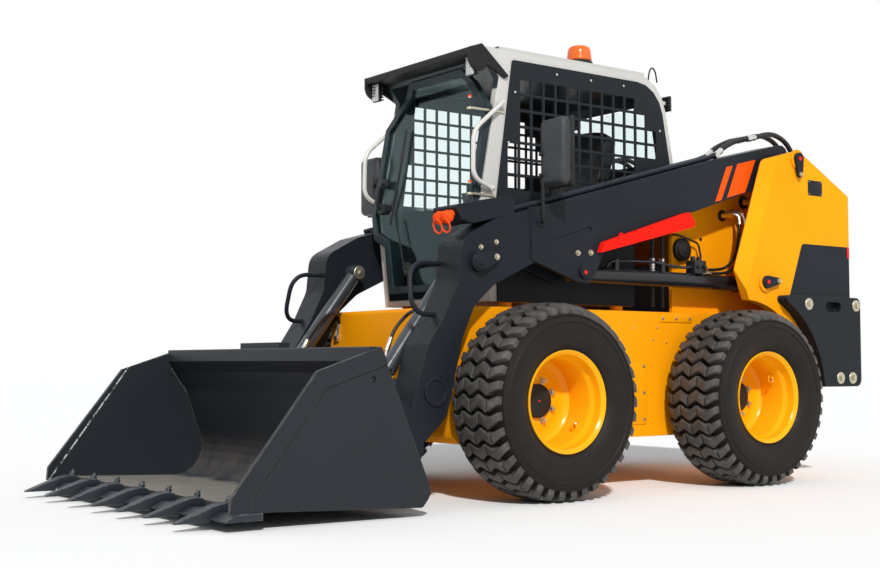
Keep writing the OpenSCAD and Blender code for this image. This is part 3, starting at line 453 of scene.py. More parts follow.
def cabPaint():
    finish = painted("cabGreyPaint", (0.55, 0.535, 0.50), (0.68, 0.67, 0.64), wearAndHighlight=0.3, dustAndSheen=0.05,
                     gloss=0.32, peel=0.3, corner=0.010, shine=0.3)
    tree = finish.node_tree
    coord, place, facing = objectParts(tree)
    toMiddle = tree.nodes.new("ShaderNodeVectorMath")  # painted shade: faces turned to the cab's middle are darkened to the dark teal of the shaded cab interior
    toMiddle.operation = "SUBTRACT"
    tree.links.new(coord.outputs["Object"], toMiddle.inputs[0])
    toMiddle.inputs[1].default_value = at(*cabInnerShade["middle"])
    dot = tree.nodes.new("ShaderNodeVectorMath")
    dot.operation = "DOT_PRODUCT"
    tree.links.new(toMiddle.outputs["Vector"], dot.inputs[0])
    tree.links.new(coord.outputs["Normal"], dot.inputs[1])
    innerShade = spread(tree, dot.outputs["Value"], 0.0, -0.02)
    brow = sums(tree, "MULTIPLY", spread(tree, facing["X"], 0.25, 0.4),
                spread(tree, place["Z"], *cabInnerShade["browZ"]))
    masked(finish, sums(tree, "MAXIMUM", innerShade, brow), cabInnerShade["tone"])
    return finish


wornForm = {
    "scratchScale": (2.0, 26.0, 10.0),  # scratches run with the load, along X
    "floorZ": (0.13, 0.10), "floorX": (1.32, 1.40), "ragged": 0.22,
    "floorDark": (0.14, 0.125, 0.105, 1), "floorPale": (0.36, 0.33, 0.285, 1),
    "rustZ": (0.30, 0.10), "rustLevel": 0.8, "rustTone": (0.10, 0.085, 0.070, 1),
    "lineLow": (2.378, 0.118), "lineHigh": (2.011, 0.617), "lineHalf": 0.005,  # inside the far side plate
    "lineY": (-0.90, -0.915), "lineTone": (0.62, 0.60, 0.56, 1),
}


def wornBucket():
    finish = painted("bucketPaint", (0.017, 0.020, 0.025), (0.20, 0.21, 0.22), wearAndHighlight=0.75, dustAndSheen=0.5,
                     gloss=0.42, peel=0.6, corner=0.004, film=paintedSkySheen)
    tree = finish.node_tree
    coord, place, facing = objectParts(tree)
    stretch = tree.nodes.new("ShaderNodeMapping")
    stretch.inputs["Scale"].default_value = wornForm["scratchScale"]
    tree.links.new(coord.outputs["Object"], stretch.inputs["Vector"])
    scratch = noiseOf(tree, stretch.outputs["Vector"], 3.0, 7.0, 0.66)
    cloud = noiseOf(tree, coord.outputs["Object"], 4.0, 5.0, 0.6)
    grit = noiseOf(tree, coord.outputs["Object"], 45.0, 5.0, 0.7)
    raggedX = sums(tree, "ADD", place["X"], sums(tree, "MULTIPLY", cloud, wornForm["ragged"]))
    inFloor = sums(tree, "MULTIPLY", spread(tree, facing["Z"], 0.75, 0.95),
                   spread(tree, place["Z"], *wornForm["floorZ"]), spread(tree, raggedX, *wornForm["floorX"]))
    floorTone = blendColor(tree, spread(tree, scratch, 0.32, 0.68), wornForm["floorDark"],
                           wornForm["floorPale"])
    rust = sums(tree, "MULTIPLY", spread(tree, facing["X"], 0.15, 0.6),
                spread(tree, place["Z"], *wornForm["rustZ"]), spread(tree, cloud, 0.28, 0.60),
                wornForm["rustLevel"])
    masked(finish, rust, wornForm["rustTone"])
    masked(finish, inFloor, floorTone)
    (lowX, lowZ), (highX, highZ) = wornForm["lineLow"], wornForm["lineHigh"]
    span = math.hypot(highX - lowX, highZ - lowZ)
    across = sums(tree, "ADD", sums(tree, "MULTIPLY", place["X"], (highZ - lowZ) / span),
                  sums(tree, "MULTIPLY", place["Z"], (lowX - highX) / span),
                  -((lowX - midShift) * (highZ - lowZ) + lowZ * (lowX - highX)) / span)
    away = tree.nodes.new("ShaderNodeMath")
    away.operation = "ABSOLUTE"
    tree.links.new(across, away.inputs[0])
    half = wornForm["lineHalf"]
    line = sums(tree, "MULTIPLY", spread(tree, away.outputs[0], half, 0.3 * half),
                spread(tree, place["Y"], *wornForm["lineY"]), spread(tree, grit, 0.45, 0.56),
                spread(tree, facing["Y"], 0.5, 0.8))
    masked(finish, line, wornForm["lineTone"])
    return finish


glassForm = {"tint": (0.82, 0.95, 0.96), "dusty": 0.94, "ior": 1.30, "gleam": (0.38, 0.80, 0.92, 1)}


def tintedGlass():
    finish = bpy.data.materials.new("cabGlass")
    finish.use_nodes = True
    tree = finish.node_tree
    shader = tree.nodes["Principled BSDF"]
    shader.inputs["Transmission Weight"].default_value = 1.0
    shader.inputs["Metallic"].default_value = 0.0
    shader.inputs["IOR"].default_value = glassForm["ior"]
    shader.inputs["Specular Tint"].default_value = glassForm["gleam"]  # the panes mirror a blue green
    coord = tree.nodes.new("ShaderNodeTexCoord")
    film = noiseOf(tree, coord.outputs["Object"], 6.0, 4.0)  # a faint film of dust
    clean = (*glassForm["tint"], 1)
    dusty = (*[glassForm["dusty"] * c for c in glassForm["tint"]], 1)
    tree.links.new(blendColor(tree, spread(tree, film, 0.3, 0.8), clean, dusty), shader.inputs["Base Color"])
    tree.links.new(spread(tree, film, 0.35, 0.8, 0.0, 0.03), shader.inputs["Roughness"])
    return finish


greyPaint = cabPaint()
bucketPaint = wornBucket()
cabGlass = tintedGlass()
print("finishes ready")


# small shapes that several pieces use

sideLabels = ((1, "Left"), (-1, "Right"))
upward = (0, 0, 1)
mergeDistance = 1e-5
boltForm = {"sides": 6, "chamfer": 0.16, "washerSides": 24, "washerHeight": 0.28, "washerTop": 0.93}


def facesOf(made):
    return [g for g in made if isinstance(g, bmesh.types.BMFace)]


def edgesOf(made):
    return [g for g in made if isinstance(g, bmesh.types.BMEdge)]


def vertsOf(made):
    return [g for g in made if isinstance(g, bmesh.types.BMVert)]


def newPiece(name, bm, finishes, angle):
    bmesh.ops.recalc_face_normals(bm, faces=bm.faces[:])
    mesh = bpy.data.meshes.new(name)
    bm.to_mesh(mesh)
    bm.free()
    for finish in finishes if isinstance(finishes, list) else [finishes]:
        mesh.materials.append(finish)
    mesh.shade_smooth()
    mesh.set_sharp_from_angle(angle=math.radians(angle))
    piece = bpy.data.objects.new(name, mesh)
    scene.collection.objects.link(piece)
    return piece


def finishPiece(name, bm, finishes, body, hides=(), angle=35):
    bmesh.ops.remove_doubles(bm, verts=bm.verts[:], dist=mergeDistance)
    piece = newPiece(name, bm, finishes, angle)
    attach(piece, body)
    if hides:
        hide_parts(*hides)
    return piece


def mirrored(points, side):
    return [at(x, side * y, z) for x, y, z in points]


def spanOf(side, inner, outer):
    return sorted((side * inner, side * outer))


def turnsOf(count, start=0.0, stop=2 * math.pi):
    return [start + (stop - start) * i / count for i in range(count + 1)]


def arcPoints(middle, radius, turns):
    return [(middle[0] + radius * math.cos(t), middle[1] + radius * math.sin(t)) for t in turns]


def facingTo(place, axis):
    return Matrix.Translation(place) @ Vector(axis).to_track_quat("Z", "Y").to_matrix().to_4x4()


def tintNew(bm, old, finish):
    for face in set(bm.faces) - old:
        face.material_index = finish


def roundEdges(bm, edges, offset, segments=2):
    bmesh.ops.bevel(bm, geom=edges, offset=offset, segments=segments, affect="EDGES", profile=0.5,
                    material=-1)


def addDrum(bm, base, radius, height, segments, lift=0.0):  # gives back the edges round its top
    made = bmesh.ops.create_cone(bm, cap_ends=True, segments=segments, radius1=radius, radius2=radius,
                                 depth=height, matrix=base @ Matrix.Translation((0, 0, lift + height / 2)))
    back = base.inverted()
    edges = {e for v in made["verts"] for e in v.link_edges}
    return [e for e in edges if all((back @ v.co).z > lift + 0.9 * height for v in e.verts)]


def addBolt(bm, place, axis, head, height, washer=0.0, finish=0):
    base = facingTo(place, axis)
    old = set(bm.faces)
    lift = 0.0
    if washer:
        lift = boltForm["washerHeight"] * height
        bmesh.ops.create_cone(bm, cap_ends=True, segments=boltForm["washerSides"], radius1=washer,
                              radius2=washer * boltForm["washerTop"], depth=lift,
                              matrix=base @ Matrix.Translation((0, 0, lift / 2)))
    top = addDrum(bm, base, head, height, boltForm["sides"], lift)
    roundEdges(bm, top, head * boltForm["chamfer"])
    tintNew(bm, old, finish)


def addDisc(bm, place, axis, radius, height, segments=32, soften=0.25, finish=0):
    old = set(bm.faces)
    top = addDrum(bm, facingTo(place, axis), radius, height, segments)
    roundEdges(bm, top, min(height, radius) * soften)
    tintNew(bm, old, finish)


def raiseFace(bm, face, depth):
    made = bmesh.ops.extrude_face_region(bm, geom=[face])["geom"]
    bmesh.ops.translate(bm, verts=vertsOf(made), vec=(0, depth, 0))
    return made


def addPlate(bm, outline, y0, y1, corner=0.0, soften=0.0):
    old = set(bm.faces)
    verts = [bm.verts.new(at(x, y0, z)) for x, z in outline]
    face = bm.faces.new(verts)
    if corner:
        bmesh.ops.bevel(bm, geom=verts, offset=corner, segments=5, affect="VERTICES", profile=0.5,
                        material=-1)
        face = next(f for f in set(bm.faces) - old if len(f.verts) > 4)
    made = raiseFace(bm, face, y1 - y0)
    if soften:
        roundEdges(bm, edgesOf(made), soften)


def addBox(bm, first, second, soften=0.0, finish=0, steps=2):
    old = set(bm.faces)
    low, high = (Vector([pick(pair) for pair in zip(first, second)]) for pick in (min, max))
    size = high - low
    made = bmesh.ops.create_cube(bm, size=1.0, matrix=Matrix.Translation(at(*((low + high) / 2)))
                                 @ Matrix.Diagonal((size.x, size.y, size.z, 1)))
    if soften:
        roundEdges(bm, list({e for v in made["verts"] for e in v.link_edges}), soften, steps)
    tintNew(bm, old, finish)


def smoothPath(points, steps=8):
    points = [Vector(p) for p in points]
    ends = [2 * points[0] - points[1]] + points + [2 * points[-1] - points[-2]]
    path = []
    for a, b, c, d in zip(ends, ends[1:], ends[2:], ends[3:]):
        for i in range(steps):
            t = i / steps
            path.append(0.5 * (2 * b + (c - a) * t + (2 * a - 5 * b + 4 * c - d) * t * t
                               + (3 * b - a - 3 * c + d) * t ** 3))
    return path + [points[-1]]


def bentPath(points, bend, steps=6):
    points = [Vector(p) for p in points]
    path = [points[0]]
    for before, corner, after in zip(points, points[1:], points[2:]):
        toBefore, toAfter = before - corner, after - corner
        a = corner + toBefore.normalized() * min(bend, 0.45 * toBefore.length)
        b = corner + toAfter.normalized() * min(bend, 0.45 * toAfter.length)
        for i in range(steps + 1):
            t = i / steps
            path.append((1 - t) ** 2 * a + 2 * t * (1 - t) * corner + t * t * b)
    return path + [points[-1]]


def addTube(bm, path, radius, sides=12, finish=0):
    old = set(bm.faces)
    ahead = (path[1] - path[0]).normalized()
    made = bmesh.ops.create_circle(bm, cap_ends=True, segments=sides, radius=radius,
                                   matrix=facingTo(path[0], ahead))
    face = made["verts"][0].link_faces[0]
    for i in range(1, len(path)):
        along = (path[min(i + 1, len(path) - 1)] - path[i - 1]).normalized()
        made = bmesh.ops.extrude_face_region(bm, geom=[face])["geom"]
        stale, face = face, facesOf(made)[0]
        if i > 1:
            bmesh.ops.delete(bm, geom=[stale], context="FACES_ONLY")
        bend = ahead.rotation_difference(along).to_matrix().to_4x4()
        move = Matrix.Translation(path[i]) @ bend @ Matrix.Translation(-path[i - 1])
        bmesh.ops.transform(bm, matrix=move, verts=vertsOf(made))
        ahead = along
    tintNew(bm, old, finish)


def addSpun(bm, profile, closed=False, steps=96):
    verts = [bm.verts.new((0, y, r)) for y, r in profile]
    edges = [bm.edges.new(pair) for pair in zip(verts, verts[1:])]
    if closed:
        edges.append(bm.edges.new((verts[-1], verts[0])))
    bmesh.ops.spin(bm, geom=verts + edges, cent=(0, 0, 0), axis=(0, 1, 0), angle=2 * math.pi, steps=steps,
                   use_merge=True)


def placedCopy(bm, matrix):
    copy = bm.copy()
    bmesh.ops.transform(copy, matrix=matrix, verts=copy.verts[:])
    return copy


# wheels

wheelPlaces = {
    "FrontLeft": (0.695, 1, -142.0), "FrontRight": (0.695, -1, 35.0),
    "RearLeft": (-0.695, 1, 150.0), "RearRight": (-0.695, -1, 110.0),
}
wheelMiddle = {"y": 0.745, "z": 0.455}

tyreForm = {
    "rowPairs": 19,
    "crown": ((0.0, 0.4545), (0.06, 0.4538), (0.095, 0.4510), (0.120, 0.4460), (0.140, 0.4385),
              (0.160, 0.4270)),
    "depth": 0.034,
    "zigzag": 0.105,
    "zigHeight": 0.032,
    "groove": 0.024,
    "flare": 0.013,  # how much wider the grooves are at the shoulders
    "slit": 0.008,
    "edge": 0.159,
    "lugRound": 0.004,
    "wall": ((0.140, 0.2235), (0.1415, 0.2385), (0.1400, 0.2430), (0.149, 0.250), (0.160, 0.270),
             (0.169, 0.295), (0.1735, 0.322), (0.1745, 0.345), (0.1730, 0.3575), (0.1775, 0.3620),
             (0.1775, 0.3680), (0.1720, 0.3725), (0.1680, 0.3850), (0.1660, 0.3890), (0.1705, 0.3930),
             (0.1690, 0.3975), (0.161, 0.4000), (0.150, 0.4040), (0.130, 0.4105), (0.100, 0.4165),
             (0.0, 0.4215)),
}


def crownRadius(y):
    marks = tyreForm["crown"]
    y = abs(y)
    for (a, ra), (b, rb) in zip(marks, marks[1:]):
        if y <= b:
            return ra + (rb - ra) * (y - a) / (b - a)
    return marks[-1][1]


def zigzag(y):
    share = (y / tyreForm["zigzag"]) % 1.0
    return tyreForm["zigHeight"] * (abs(2 * share - 1) - 0.5)


def halfGroove(y):
    return (tyreForm["groove"] + tyreForm["flare"] * (y / tyreForm["edge"]) ** 4) / 2


def addTreadRow(bm, start, pitch, splits):
    slit, edge, lugRound = tyreForm["slit"] / 2, tyreForm["edge"], tyreForm["lugRound"]
    half = tyreForm["zigzag"] / 2
    limits = [-edge] + splits + [edge]
    for left, right in zip(limits, limits[1:]):
        a = left + (slit if left > -edge else 0)
        b = right - (slit if right < edge else 0)
        turns = [k * half for k in range(-4, 5) if a + lugRound < k * half < b - lugRound]
        across = [a] + turns + [b]
        low = [bm.verts.new((start + halfGroove(y) + zigzag(y), y, 0)) for y in across]
        high = [bm.verts.new((start + pitch - halfGroove(y) + zigzag(y), y, 0)) for y in reversed(across)]
        face = bm.faces.new(low + high)
        made = bmesh.ops.extrude_face_region(bm, geom=[face])["geom"]
        bmesh.ops.translate(bm, verts=low + high, vec=(0, 0, -tyreForm["depth"]))
        roundEdges(bm, edgesOf(made), lugRound)


def makeTyre():
    bm = bmesh.new()
    reach = tyreForm["crown"][0][1]
    pitch = math.pi * reach / tyreForm["rowPairs"]
    half = tyreForm["zigzag"] / 2
    addTreadRow(bm, 0.0, pitch, [-half, half])
    addTreadRow(bm, pitch, pitch, [-2 * half, 0.0, 2 * half])
    marks = [y for y, r in tyreForm["crown"][2:5]]
    for y in [-mark for mark in reversed(marks)] + marks:  # cut where the crown bends
        bmesh.ops.bisect_plane(bm, geom=bm.verts[:] + bm.edges[:] + bm.faces[:], plane_co=(0, y, 0),
                               plane_no=(0, 1, 0))
    for vert in bm.verts:  # the flat pattern is rolled round the tyre
        turn, r = vert.co.x / reach, crownRadius(vert.co.y) + vert.co.z
        vert.co = (r * math.sin(turn), vert.co.y, r * math.cos(turn))
    tintNew(bm, set(), 1)
    steps = tyreForm["rowPairs"] - 1
    bmesh.ops.spin(bm, geom=bm.verts[:] + bm.edges[:] + bm.faces[:], cent=(0, 0, 0), axis=(0, 1, 0),
                   angle=2 * math.pi * steps / tyreForm["rowPairs"], steps=steps, use_duplicate=True)
    wall = list(tyreForm["wall"])
    inner = [(-y, r) for y, r in reversed(wall[:-1])]
    addSpun(bm, wall + inner, closed=True, steps=120)
    return bm


rimForm = {
    "barrel": ((0.1405, 0.2355), (0.1480, 0.2350), (0.1490, 0.2320), (0.1465, 0.2285), (0.1390, 0.2190),
               (0.1340, 0.2140), (0.1270, 0.2125), (0.1010, 0.2125), (0.0930, 0.2100), (0.0800, 0.1990),
               (0.0720, 0.1960), (-0.0500, 0.1960), (-0.1340, 0.2140), (-0.1480, 0.2350), (-0.1405, 0.2355),
               (-0.1385, 0.2225), (-0.0920, 0.2220), (-0.0680, 0.2045), (0.0680, 0.2045), (0.0920, 0.2220),
               (0.1385, 0.2225)),
    "disc": ((-0.0750, 0.060), (-0.0750, 0.128), (-0.0790, 0.140), (-0.0790, 0.172), (-0.0730, 0.186),
             (-0.0600, 0.1975), (-0.0900, 0.1975), (-0.0870, 0.060)),
}


def makeRim():
    bm = bmesh.new()
    for profile in rimForm.values():
        addSpun(bm, profile, closed=True, steps=128)
    return bm


hubForm = {
    "cap": ((-0.0760, 0.0790), (-0.0600, 0.0790), (-0.0555, 0.0770), (-0.0530, 0.0720), (-0.0530, 0.0300),
            (-0.0525, 0.0005)),
    "plugSeat": -0.0535, "plug": (0.0050, 0.003, 20, 0.4),
    "bolts": 8, "firstBolt": 22.5, "boltCircle": 0.1016, "boltSeat": -0.0755, "bolt": (0.0125, 0.015, 0.0185),
    "studRise": 0.018, "stud": (0.007, 0.008, 16, 0.3),
    "valveReach": 0.1975, "valveRise": 0.030, "valve": (0.010, 0.012, 16, 0.3),
    "stem": ((0.0, 0.0), (0.018, 0.004), (0.030, 0.022)),  # how far inward, how far outboard
    "guard": ((0.0, 0.020), (0.020, 0.020), (0.030, 0.010), (0.033, 0.0)),  # how far inward, how far aside
    "stemRadius": 0.0045, "guardRadius": 0.0035,
}


def makeHub(valveTurn):
    bm = bmesh.new()
    form = hubForm
    axle = Vector((0, 1, 0))
    addSpun(bm, form["cap"], steps=64)
    addDisc(bm, axle * form["plugSeat"], axle, *form["plug"], finish=2)
    for i in range(form["bolts"]):
        turn = math.radians(form["firstBolt"] + 360 / form["bolts"] * i)
        place = Vector((math.cos(turn), 0, math.sin(turn))) * form["boltCircle"] + axle * form["boltSeat"]
        addBolt(bm, place, axle, *form["bolt"], finish=1)
        addDisc(bm, place + axle * form["studRise"], axle, *form["stud"], finish=1)
    turn = math.radians(valveTurn)
    out = Vector((math.cos(turn), 0, math.sin(turn)))
    foot = out * form["valveReach"] + axle * form["valveRise"]
    addDisc(bm, foot, -out, *form["valve"], finish=3)
    stem = [foot - out * inward + axle * rise for inward, rise in form["stem"]]
    addTube(bm, smoothPath(stem, 4), form["stemRadius"], 10, finish=1)
    across = axle.cross(out)
    for sign in (-1, 1):  # the guard stands on both sides of the valve
        guard = [foot - out * inward + across * apart * sign for inward, apart in form["guard"]]
        addTube(bm, smoothPath(guard, 3), form["guardRadius"], 8, finish=3)
    return bm


tyreShape = makeTyre()
rimShape = makeRim()
for label, (x, side, valveTurn) in wheelPlaces.items():
    nodeEnd = ("_front" if "Front" in label else "_rear") + ("_left" if side > 0 else "_right")
    body = "wheel" + nodeEnd
    place = (Matrix.Translation(at(x, side * wheelMiddle["y"], wheelMiddle["z"]))
             @ Matrix.Diagonal((1, side, 1, 1)))
    finishPiece("tyre" + label, placedCopy(tyreShape, place), [wallRubber, treadRubber], body,
                ["tyre" + nodeEnd], 32)
    finishPiece("rim" + label, placedCopy(rimShape, place), rimPaint, body, ["rim" + nodeEnd], 30)
    hub = makeHub(valveTurn)
    finishPiece("hub" + label, placedCopy(hub, place), [blackPlastic, zincPlate, redDot, rimPaint], body)
    hub.free()
tyreShape.free()
rimShape.free()
print("wheels made")


# bucket teeth and their bolts

toothForm = {
    "count": 7, "pitch": 0.2625, "half": 0.034, "tipHalf": 0.013, "edgeX": 2.284, "tipX": 2.580,
    "seat": 0.0683, "low": 0.031, "tipHeight": 0.005, "noseFrom": 0.10, "soften": 0.0024,
    "back": ((0.042, 0.0), (0.044, 0.016), (0.056, 0.028), (0.085, 0.0335), (0.120, 0.029), (0.165, 0.014)),
    "heel": (0.1553, 0.049), "edgeEnd": 0.1153,
    "boltX": 2.352, "boltRise": 0.0285, "boltAxis": (-0.30, 0, 1), "bolt": (0.0145, 0.014, 0.0175),
    "studShift": (-0.005, 0, 0.0165), "stud": (0.0085, 0.012, 14, 0.3),
}


def addTooth(bm, y):
    form = toothForm
    edgeX, seat, low, tip = form["edgeX"], form["seat"], form["low"], form["tipX"]
    heelX, heelZ = form["heel"]
    outline = [(edgeX + x, seat + z) for x, z in form["back"]]
    outline += [(tip, low + form["tipHeight"]), (tip, low), (edgeX + heelX, low), (edgeX + heelX, heelZ),
                (edgeX + form["edgeEnd"], seat)]
    verts = [bm.verts.new(at(x, y - form["half"], z)) for x, z in outline]
    verts += vertsOf(raiseFace(bm, bm.faces.new(verts), 2 * form["half"]))
    noseX = edgeX + form["noseFrom"]
    for vert in verts:  # the nose is narrower than the seat
        along = (vert.co.x + midShift - noseX) / (tip - noseX)
        if along > 0:
            share = 1 - along * (1 - form["tipHalf"] / form["half"])
            vert.co.y = y + (vert.co.y - y) * share
    roundEdges(bm, list({e for v in verts for e in v.link_edges}), form["soften"])


def makeTeeth():
    form = toothForm
    teeth, bolts = bmesh.new(), bmesh.new()
    for i in range(form["count"]):
        y = (i - (form["count"] - 1) / 2) * form["pitch"]
        addTooth(teeth, y)
        top = at(form["boltX"], y, form["seat"] + form["boltRise"])
        addBolt(bolts, top, form["boltAxis"], *form["bolt"])
        addDisc(bolts, top + Vector(form["studShift"]), form["boltAxis"], *form["stud"])
    finishPiece("bucketTeeth", teeth, toothSteel, "bucket", ["bucket_teeth"])
    finishPiece("toothBolts", bolts, toothSteel, "bucket")


makeTeeth()
print("teeth made")


# lamps and beacon

lampForm = {
    "front": {"x": (0.840, 0.884), "y": 0.404, "z": (2.0087, 2.1037), "ahead": 1},
    "rear": {"x": (-0.540, -0.500), "y": 0.360, "z": (1.998, 2.082), "ahead": -1},
    "half": 0.031, "rim": 0.012, "back": 0.016, "round": 0.004,
    "fins": 6, "finFoot": 0.008, "finTop": 0.014, "finDepth": 0.02, "finInset": 0.004, "finHeight": 0.006,
    "lensInset": 0.002, "lensDepth": 0.006, "lensRound": 0.002, "finRound": 0.001,
    "rows": 6, "columns": 3, "bead": 0.0068, "beadDepth": 0.0065, "beadFlat": (0.75, 1, 1),
}


def addLamp(housing, lens, form, side):
    shared = lampForm
    ahead = form["ahead"]
    rear, face = form["x"][::ahead]
    y0, y1 = side * form["y"] - shared["half"], side * form["y"] + shared["half"]
    low, high = form["z"]
    rim = face - ahead * shared["rim"]
    addBox(housing, (rim, y0, low), (rear + ahead * shared["back"], y1, high), shared["round"])
    rise = (high - low - shared["finFoot"] - shared["finTop"]) / (shared["fins"] - 1)
    inset = shared["finInset"]
    for k in range(shared["fins"]):  # cooling fins
        z = low + shared["finFoot"] + k * rise
        addBox(housing, (rear, y0 + inset, z),
               (rear + ahead * shared["finDepth"], y1 - inset, z + shared["finHeight"]), shared["finRound"])
    inset = shared["lensInset"]
    addBox(lens, (rim, y0 + inset, low + inset),
           (face - ahead * shared["lensDepth"], y1 - inset, high - inset), shared["lensRound"])
    for i in range(shared["rows"]):
        for j in range(shared["columns"]):
            place = at(face - ahead * shared["beadDepth"], y0 + (j + 0.5) * (y1 - y0) / shared["columns"],
                       low + (i + 0.5) * (high - low) / shared["rows"])
            made = bmesh.ops.create_icosphere(lens, subdivisions=1, radius=shared["bead"],
                                              matrix=Matrix.Translation(place))
            bmesh.ops.scale(lens, vec=shared["beadFlat"], space=Matrix.Translation(-place),
                            verts=made["verts"])


def makeLamps():
    housing, lens = bmesh.new(), bmesh.new()
    for key in ("front", "rear"):
        for side in (-1, 1):
            addLamp(housing, lens, lampForm[key], side)
    finishPiece("lampHousings", housing, blackPlastic, "chassis", ["work_lamps"])
    finishPiece("lampLenses", lens, lampSilver, "chassis", (), 25)


beaconForm = {
    "place": (0.098, 0.335, 2.175),
    "base": ((0.0, 0.070), (0.012, 0.070), (0.018, 0.066), (0.022, 0.060), (0.022, 0.001), (0.0, 0.001)),
    "dome": ((0.0205, 0.062), (0.026, 0.0655), (0.060, 0.0615), (0.082, 0.0585), (0.092, 0.0520),
             (0.0975, 0.043), (0.0995, 0.030), (0.0998, 0.0005), (0.0205, 0.0005)),
}


def makeBeacon():
    upright = Matrix.Translation(at(*beaconForm["place"])) @ Matrix.Rotation(math.radians(90), 4, "X")
    for name, profile, steps, finish, hides in (("beaconBase", "base", 48, blackPlastic, ()),
                                                ("beaconDome", "dome", 64, amberLens, ["beacon"])):
        bm = bmesh.new()
        addSpun(bm, beaconForm[profile], closed=True, steps=steps)
        bmesh.ops.transform(bm, matrix=upright, verts=bm.verts[:])
        finishPiece(name, bm, finish, "chassis", hides, 30)


makeLamps()
makeBeacon()
print("lamps made")


# pipes and hoses on the arms

hoseForm = {
    "pipeY": (0.535, 0.605), "radius": 0.013, "hoseOver": 1.08, "crimpOver": 1.05, "crimps": (0, 11),
    "pipe": ((0.806, 1.340), (0.20, 1.507), (-0.40, 1.672), (-0.560, 1.716), (-0.650, 1.748)),
    "hose": ((-0.650, 1.748), (-0.715, 1.795), (-0.830, 1.843), (-0.945, 1.866), (-1.040, 1.892),
             (-1.120, 1.898), (-1.205, 1.872), (-1.265, 1.818), (-1.300, 1.740), (-1.312, 1.650)),
    "bend": ((-1.04, 0, 1.89), (-1.30, 0, 1.74)),
}
crimpForm = {
    "nut": 1.35, "nutBack": 0.030, "nutSize": (0.034, 6, 0.12),
    "shell": 1.2, "shellSize": (0.040, 18, 0.2),
}


def towards(path, start, stop):
    return (path[stop] - path[start]).normalized()


def makeCord(name, route, radius):
    bm = bmesh.new()
    addTube(bm, route, radius, 14)
    piece = newPiece(name, bm, hoseRubber, 40)
    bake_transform(piece)


def addCrimp(bm, place, ahead, radius):
    addDisc(bm, place - ahead * crimpForm["nutBack"], ahead, radius * crimpForm["nut"], *crimpForm["nutSize"])
    addDisc(bm, place, ahead, radius * crimpForm["shell"], *crimpForm["shellSize"])


def makeArmHoses():
    form = hoseForm
    radius = form["radius"]
    for side, label in sideLabels:
        pipes, fittings = bmesh.new(), bmesh.new()
        for number, y in enumerate(form["pipeY"]):
            addTube(pipes, smoothPath([at(x, side * y, z) for x, z in form["pipe"]]), radius, 14)
            route = smoothPath([at(x, side * y, z) for x, z in form["hose"]], 4)
            makeCord(f"pivotHose{label}{number + 1}", route, radius * form["hoseOver"])
            for i in form["crimps"]:
                addCrimp(fittings, route[i], towards(route, i, i + 1), radius * form["crimpOver"])
        finishPiece("armPipes" + label, pipes, charcoalPaint, "lift_arms",
                    ["arm_pipes"] if side > 0 else ())
        finishPiece("armPipeFittings" + label, fittings, crimpSteel, "lift_arms")


liftHoseForm = {
    "radius": 0.0085,
    "stubs": (((-0.829, 0.472, 1.440), (-0.858, 0.515, 1.441)),
              ((-1.008, 0.472, 1.525), (-1.040, 0.515, 1.530))),
    "stubSizes": (0.026, 0.030), "flange": 1.25, "flangeSize": (0.008, 28, 0.4), "neck": 0.55,
    "nut": 0.72, "nutSize": (0.014, 6, 0.15),
    "runs": (((-0.846, 0.498, 1.442), (-0.872, 0.522, 1.449), (-0.889, 0.541, 1.430), (-0.884, 0.550, 1.388),
              (-0.866, 0.559, 1.318), (-0.838, 0.567, 1.245), (-0.795, 0.574, 1.183), (-0.730, 0.578, 1.143),
              (-0.645, 0.580, 1.128), (-0.545, 0.579, 1.126)),
             ((-0.848, 0.498, 1.450), (-0.890, 0.522, 1.462), (-0.924, 0.543, 1.440), (-0.926, 0.554, 1.388),
              (-0.902, 0.566, 1.308), (-0.864, 0.580, 1.232), (-0.812, 0.592, 1.166), (-0.742, 0.601, 1.123),
              (-0.650, 0.605, 1.107), (-0.545, 0.604, 1.106))),
    "bend": ((-0.86, 0.56, 1.33), (-0.70, 0.58, 1.15)),
    "elbow": (0, 9, 1.12), "sleeve": (7, 13, 1.35), "endShift": 0.004,
    "block": ((-0.545, 0.548, 1.098), (-0.455, 0.614, 1.170)), "blockRound": 0.006,
    "portX": (-0.525, -0.478), "topPortY": 0.580, "topPort": (0.014, 0.022, 6, 0.2),
    "sidePortZ": 1.135, "sidePort": (0.011, 0.014, 6, 0.2),
    "pipe": ((-0.480, 0.590, 1.135), (-0.375, 0.600, 1.128), (-0.300, 0.602, 1.131), (-0.204, 0.602, 1.141),
             (-0.148, 0.600, 1.146), (0.041, 0.600, 1.142), (0.130, 0.596, 1.136), (0.158, 0.588, 1.105)),
    "pipeRadius": 0.0075,
    "saddleX": (-0.23, 0.10), "saddleY": 0.594, "saddleZ": (1.090, 1.152), "saddleHalf": 0.012,
    "saddleRound": 0.003,
}


def addLiftValve(bm, side):
    form = liftHoseForm
    (lowX, lowY, lowZ), (highX, highY, highZ) = form["block"]
    addBox(bm, (lowX, side * lowY, lowZ), (highX, side * highY, highZ), form["blockRound"])
    for x in form["portX"]:
        addDisc(bm, at(x, side * form["topPortY"], highZ), upward, *form["topPort"])
        addDisc(bm, at(x, side * highY, form["sidePortZ"]), (0, side, 0), *form["sidePort"])
    addTube(bm, smoothPath(mirrored(form["pipe"], side), 6), form["pipeRadius"], 12)
    half, y, (z0, z1) = form["saddleHalf"], side * form["saddleY"], form["saddleZ"]
    for x in form["saddleX"]:
        addBox(bm, (x - half, y - half, z0), (x + half, y + half, z1), form["saddleRound"])


